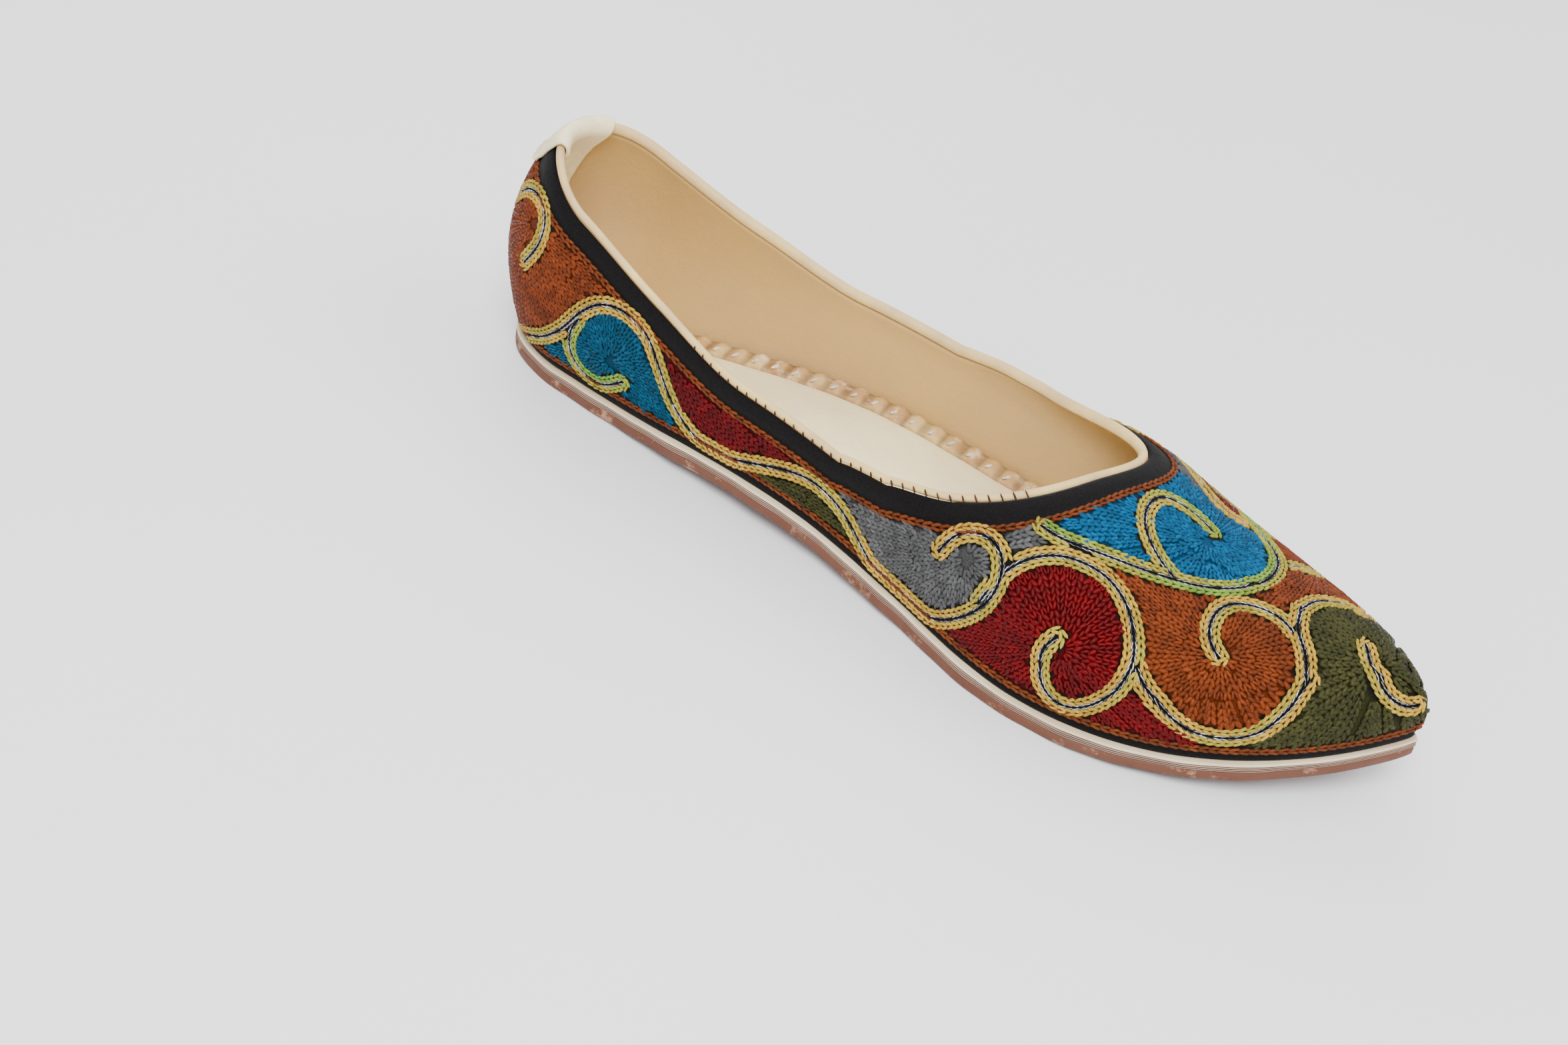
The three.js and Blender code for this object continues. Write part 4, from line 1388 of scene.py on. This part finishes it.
class MOJARI_OT_scrolls(bpy.types.Operator):
    """Scroll lines of three rows of chain stitch, gold, silver and gold, and the rust border rows"""

    bl_idname = "mojari.scrolls"
    bl_label = "Scrolls"

    def execute(self, context):
        sizes, shades = context.scene.mojari_sizes, context.scene.mojari_colours
        width, pitch = sizes.thread_width / MM, sizes.chain_pitch / MM
        beside = sizes.row_spacing / MM
        chance = np.random.default_rng(11)
        gold, silver, rust = [], [], []
        taken = np.full((1, 3), FAR_OFF)
        for offset in (0, 1):
            for order, (green, u, v) in enumerate(scroll_paths()):
                row_u, row_v = around(u, v, beside) if offset else (u, v)
                points, ahead, normals = links_along(row_u, row_v, pitch if offset else pitch * 0.8)
                keep = nearest(tree_of(taken), points) > ROW_CLEARANCE * width
                taken = np.concatenate([taken, points[keep]])
                points, ahead, normals = points[keep], ahead[keep], normals[keep]
                count = len(points)
                run = np.arange(count) * pitch
                if offset:
                    leaf = np.clip(green + 0.3 * np.sin(run / 9 + order * 2) - 0.1, 0, 1)[:, None]
                    colour = lerp(linear(shades.gold), linear(shades.leaf), leaf)
                    colour = colour * chance.uniform(0.78, 1.12, (count, 1))
                    size = np.array((pitch * 1.2, width, GOLD_HIGH)) * chance.uniform(0.94, 1.06, (count, 3))
                    gold.append((points - normals * GOLD_SINK, ahead, normals, size, colour))
                else:
                    colour = lerp(*SILVER_TONES, chance.uniform(0, 1, (count, 1)) ** 1.2)
                    size = np.array((pitch * 1.05, width * 0.78, SILVER_HIGH)) * np.ones((count, 1))
                    silver.append((points - normals * SILVER_SINK, ahead, normals, size, colour))
        for row in border_rows():
            points, ahead, normals = links_along(*row, pitch * 1.15)
            count = len(points)
            colour = linear(shades.border) * chance.uniform(0.7, 1.2, (count, 1))
            size = np.array((pitch * 1.35, width, BORDER_HIGH)) * np.ones((count, 1))
            rust.append((points - normals * BORDER_SINK, ahead, normals, size, colour))
        silk = thread("silk_thread")
        metal = thread("metal_thread", 0.3, 0.8)
        stitched("gold_rows", LINK, gold, silk)
        stitched("silver_rows", WIRE_LINK, silver, metal)
        stitched("border_rows", LINK, rust, silk)
        return {"FINISHED"}


# Rows of a field: how many start round its curl, how often they double, how early a new one may start and
# how far they run; then how near they come to a scroll, and how near a link and its tip come to the border
FIRST_ROWS = 9
DOUBLINGS = 6
EARLY = 0.95
ROW_REACH = 95.0
SCROLL_MARGIN = 0.3
BORDER_MARGIN = 1.15
TIP_MARGIN = 0.6
TIP_PART = 0.6

# How wide a link is for the gap between its rows, and the least and largest width
LINK_FILL = 1.02
TOE_LINK_FILL = 1.16
LINK_WIDTHS = (1.5, 2.9)

# How far a link strays from its row, the range of its tones, and how deep it lies in the velvet
LINK_STRAY = 0.07
LINK_TONES = (0.66, 1.2)
LINK_SINKS = (0.26, 0.36)


def spread_rows(order, field, pitch, spacing):
    """Rows of links that run out from a field's curl. New rows start where two have drifted apart."""
    form = round_field()
    label, to_scroll, to_border = regions()
    u0, v0 = field[1][:1], field[2][:1]
    chance = np.random.default_rng(20 + order)
    along, _, normal = form.slopes(u0, v0)
    east = unit(along)
    north = unit(np.cross(normal, east))
    first = FIRST_ROWS * spacing / (2 * math.pi)
    steps = [np.arange(FIRST_ROWS)] + [np.arange(1, FIRST_ROWS * 2**k, 2) for k in range(1, DOUBLINGS)]
    levels = np.repeat(np.arange(DOUBLINGS), [len(ring) for ring in steps])
    angles = 2 * math.pi * np.concatenate(steps) / (FIRST_ROWS * 2.0**levels)
    starts = first * 2.0**levels
    heading = east * np.cos(angles)[:, None] + north * np.sin(angles)[:, None]
    radius = chance.uniform(0.2, pitch, len(angles))
    u, v = np.full(len(angles), u0[0]), np.full(len(angles), v0[0])
    du, dv = form.shift(u, v, heading * radius[:, None])
    u, v = u + du, v + dv
    found = []
    while radius.min() < ROW_REACH:
        normal = form.slopes(u, v)[2]
        heading = square_to(heading, normal)
        i, j = (np.rint(k).astype(int) for k in form.clip(u, v))
        du, dv = form.shift(u, v, heading * pitch)
        tip_i, tip_j = (np.rint(k).astype(int) for k in form.clip(u + TIP_PART * du, v + TIP_PART * dv))
        inside = (u > 0) & (u < form.last) & (v > 0) & (v < FIELD_ROWS)
        inside &= (label[i, j] == order) & (to_scroll[i, j] > SCROLL_HALF + SCROLL_MARGIN)
        inside &= (to_border[i, j] > BORDER_MARGIN) & (to_border[tip_i, tip_j] > TIP_MARGIN)
        inside &= radius >= starts * EARLY
        level = np.clip(np.floor(np.log2(np.maximum(radius / first / EARLY, 1))), 0, DOUBLINGS - 1)
        gap = 2 * math.pi * radius / (FIRST_ROWS * 2**level)
        found.append(np.stack([u, v, du, dv, gap], 1)[inside])
        u, v = np.clip(u + du, -1, form.last + 1), np.clip(v + dv, -1, FIELD_ROWS + 1)
        radius = radius + pitch
    return np.concatenate(found)


class MOJARI_OT_fields(bpy.types.Operator):
    """Fields between the scrolls, filled with rows of chain stitch that spread from the curls"""

    bl_idname = "mojari.fields"
    bl_label = "Filled fields"

    def execute(self, context):
        sizes, shades = context.scene.mojari_sizes, context.scene.mojari_colours
        spacing, pitch = sizes.fill_spacing / MM, sizes.fill_pitch / MM
        chance = np.random.default_rng(7)
        form = round_field()
        groups = {}
        for order, field in enumerate(all_fields()):
            rows = spread_rows(order, field, pitch, spacing)
            if not len(rows):
                continue
            u, v, du, dv, gap = rows.T
            points = form.at(u, v)
            along, up, normals = form.slopes(u, v)
            ahead = unit(along * du[:, None] + up * dv[:, None])
            count = len(points)
            ahead = unit(ahead + np.cross(normals, ahead) * chance.normal(0, LINK_STRAY, (count, 1)))
            colour = linear(getattr(shades, field[0])) * chance.uniform(*LINK_TONES, (count, 1))
            wide = np.clip(gap * (TOE_LINK_FILL if field[0] == "toe" else LINK_FILL), *LINK_WIDTHS)
            size = np.stack([np.full(count, pitch * 1.35), wide, 0.95 + 0.2 * wide], 1)
            places = points - normals * chance.uniform(*LINK_SINKS, (count, 1))
            groups.setdefault(field[0], []).append((places, ahead, normals, size, colour))
        silk = thread("field_thread", 0.45)
        for name, rows in groups.items():
            stitched(name + "_field", FILL_LINK, rows, silk)
        return {"FINISHED"}


# The stage: half the floor's size in metres, the sky, and each lamp's name, place, size and power
FLOOR_HALF = 4.0
SKY = (0.86, 0.87, 0.9, 1)
SKY_STRENGTH = 1.3
LAMPS = (
    ("key", (0.25, -0.75, 1.1), 0.6, 25.0),
    ("fill", (0.9, 0.5, 0.9), 1.2, 7.5),
    ("back", (-0.7, 0.7, 0.8), 0.9, 6.2),
)


class MOJARI_OT_stage(bpy.types.Operator):
    """Pale floor, soft light and the camera"""

    bl_idname = "mojari.stage"
    bl_label = "Stage"

    def execute(self, context):
        mesh = grid_mesh("floor", 5, 5, FLOOR_HALF)
        material, tree, shader = node_tree("pale_floor")
        shade = ramp(tree, noise(tree, 3.0, 3), ((0.3, (0.85, 0.85, 0.87)), (0.7, (0.89, 0.89, 0.91))))
        tree.links.new(shade, shader.inputs["Base Color"])
        put(shader, Roughness=0.55)
        bump(tree, shader, ((noise(tree, 260.0, 3), 0.12, 0.4),))
        mesh.materials.append(material)
        set_out("floor", mesh)

        world = bpy.data.worlds.new("studio")
        context.scene.world = world
        world.use_nodes = True
        put(world.node_tree.nodes["Background"], Color=SKY, Strength=SKY_STRENGTH)
        for name, place, size, power in LAMPS:
            lamp = bpy.data.lights.new(name, "AREA")
            lamp.size = size
            lamp.energy = power
            holder = set_out(name, lamp)
            holder.location = place
            holder.rotation_euler = (-Vector(place)).to_track_quat("-Z", "Y").to_euler()

        camera = bpy.data.cameras.new("camera")
        camera.sensor_width = SENSOR
        camera.lens = FOCAL_PIXELS * SENSOR / FRAME_WIDTH
        camera.clip_start = 0.01
        camera.clip_end = 50
        holder = set_out("camera", camera)
        eye = (-LOOK.T @ PLACE + ORIGIN) * MM
        right, down, forward = LOOK
        pose = np.eye(4)
        pose[:3, 0], pose[:3, 1], pose[:3, 2], pose[:3, 3] = right, -down, -forward, eye
        holder.matrix_world = Matrix(pose.tolist())
        context.scene.camera = holder
        return {"FINISHED"}


def size_property(name, description, default):
    return FloatProperty(name=name, description=description, default=default * MM, min=0.1 * MM,
                         unit="LENGTH", precision=5)


def colour_property(name, description, default):
    return FloatVectorProperty(name=name, description=description, default=default, min=0.0, max=1.0,
                               size=3, subtype="COLOR_GAMMA")


class MojariSizes(bpy.types.PropertyGroup):
    thread_width: size_property("Thread width", "Width of one row of chain stitch", 1.8)
    chain_pitch: size_property("Chain pitch", "Length of one link of chain stitch", 1.9)
    row_spacing: size_property("Row spacing", "Distance from a scroll's middle row to its outer rows", 1.5)
    fill_pitch: size_property("Fill pitch", "Length of one link in the fields", 1.6)
    fill_spacing: size_property("Fill spacing", "Least distance between rows in the fields", 1.5)
    ground_depth: size_property("Ground depth", "How far the velvet lies under the stitches' tops", 0.55)
    pleat: size_property("Pleat", "Distance between pleats of the strip beside the insole", 5.6)
    whip_pitch: size_property("Whip pitch", "Distance between the dark stitches over the rolled edge", 2.9)


class MojariColours(bpy.types.PropertyGroup):
    rust: colour_property("Rust", "Rust fields", (0.42, 0.18, 0.06))
    teal: colour_property("Teal", "Blue field at the heel", (0.0, 0.25, 0.35))
    wine: colour_property("Wine", "Dark red wedge", (0.33, 0.0, 0.02))
    olive: colour_property("Olive", "Green wedge at the waist", (0.19, 0.19, 0.07))
    grey: colour_property("Grey", "Grey field", (0.3, 0.3, 0.3))
    crimson: colour_property("Crimson", "Large red field", (0.35, 0.0, 0.02))
    blue: colour_property("Blue", "Blue field at the throat", (0.0, 0.3, 0.45))
    toe: colour_property("Toe green", "Green field at the toe", (0.2, 0.2, 0.09))
    gold: colour_property("Gold", "Outer rows of the scrolls", (0.71, 0.57, 0.21))
    leaf: colour_property("Leaf", "Where the gold turns green", (0.42, 0.58, 0.22))
    border: colour_property("Border", "Rows along the band and the sole", (0.4, 0.19, 0.07))
    sole: colour_property("Sole", "Outsole leather", (0.39, 0.24, 0.17))
    welt: colour_property("Welt", "Top layer of the sole", (0.89, 0.82, 0.7))
    insole: colour_property("Insole", "Insole leather", (1.0, 0.95, 0.73))
    strip: colour_property("Strip", "Pleated strip", (0.83, 0.71, 0.45))
    lining: colour_property("Lining", "Lining leather", (0.8, 0.66, 0.38))
    binding: colour_property("Rolled edge", "Leather of the rolled edge", (0.91, 0.79, 0.51))
    tab: colour_property("Tab", "Leather of the heel tab", (0.99, 0.94, 0.75))


class MOJARI_PT_panel(bpy.types.Panel):
    bl_label = "Mojari"
    bl_idname = "MOJARI_PT_panel"
    bl_space_type = "VIEW_3D"
    bl_region_type = "UI"
    bl_category = "Mojari"

    def draw(self, context):
        for group in (context.scene.mojari_sizes, context.scene.mojari_colours):
            box = self.layout.box()
            for name in group.bl_rna.properties.keys():
                if name not in ("rna_type", "name"):
                    box.prop(group, name)
        for operator in OPERATORS:
            self.layout.operator(operator.bl_idname)


OPERATORS = (
    MOJARI_OT_sole,
    MOJARI_OT_insole,
    MOJARI_OT_strip,
    MOJARI_OT_upper,
    MOJARI_OT_lining,
    MOJARI_OT_binding,
    MOJARI_OT_heel_tab,
    MOJARI_OT_scrolls,
    MOJARI_OT_fields,
    MOJARI_OT_stage,
)
CLASSES = (MojariSizes, MojariColours, *OPERATORS, MOJARI_PT_panel)


def register():
    for cls in CLASSES:
        bpy.utils.register_class(cls)
    bpy.types.Scene.mojari_sizes = PointerProperty(type=MojariSizes)
    bpy.types.Scene.mojari_colours = PointerProperty(type=MojariColours)


def unregister():
    del bpy.types.Scene.mojari_colours
    del bpy.types.Scene.mojari_sizes
    for cls in reversed(CLASSES):
        bpy.utils.unregister_class(cls)


def main():
    register()
    bpy.ops.mojari.sole()
    bpy.ops.mojari.insole()
    bpy.ops.mojari.strip()
    bpy.ops.mojari.upper()
    bpy.ops.mojari.lining()
    bpy.ops.mojari.binding()
    bpy.ops.mojari.heel_tab()
    bpy.ops.mojari.scrolls()
    bpy.ops.mojari.fields()
    bpy.ops.mojari.stage()


if __name__ == "__main__":
    main()
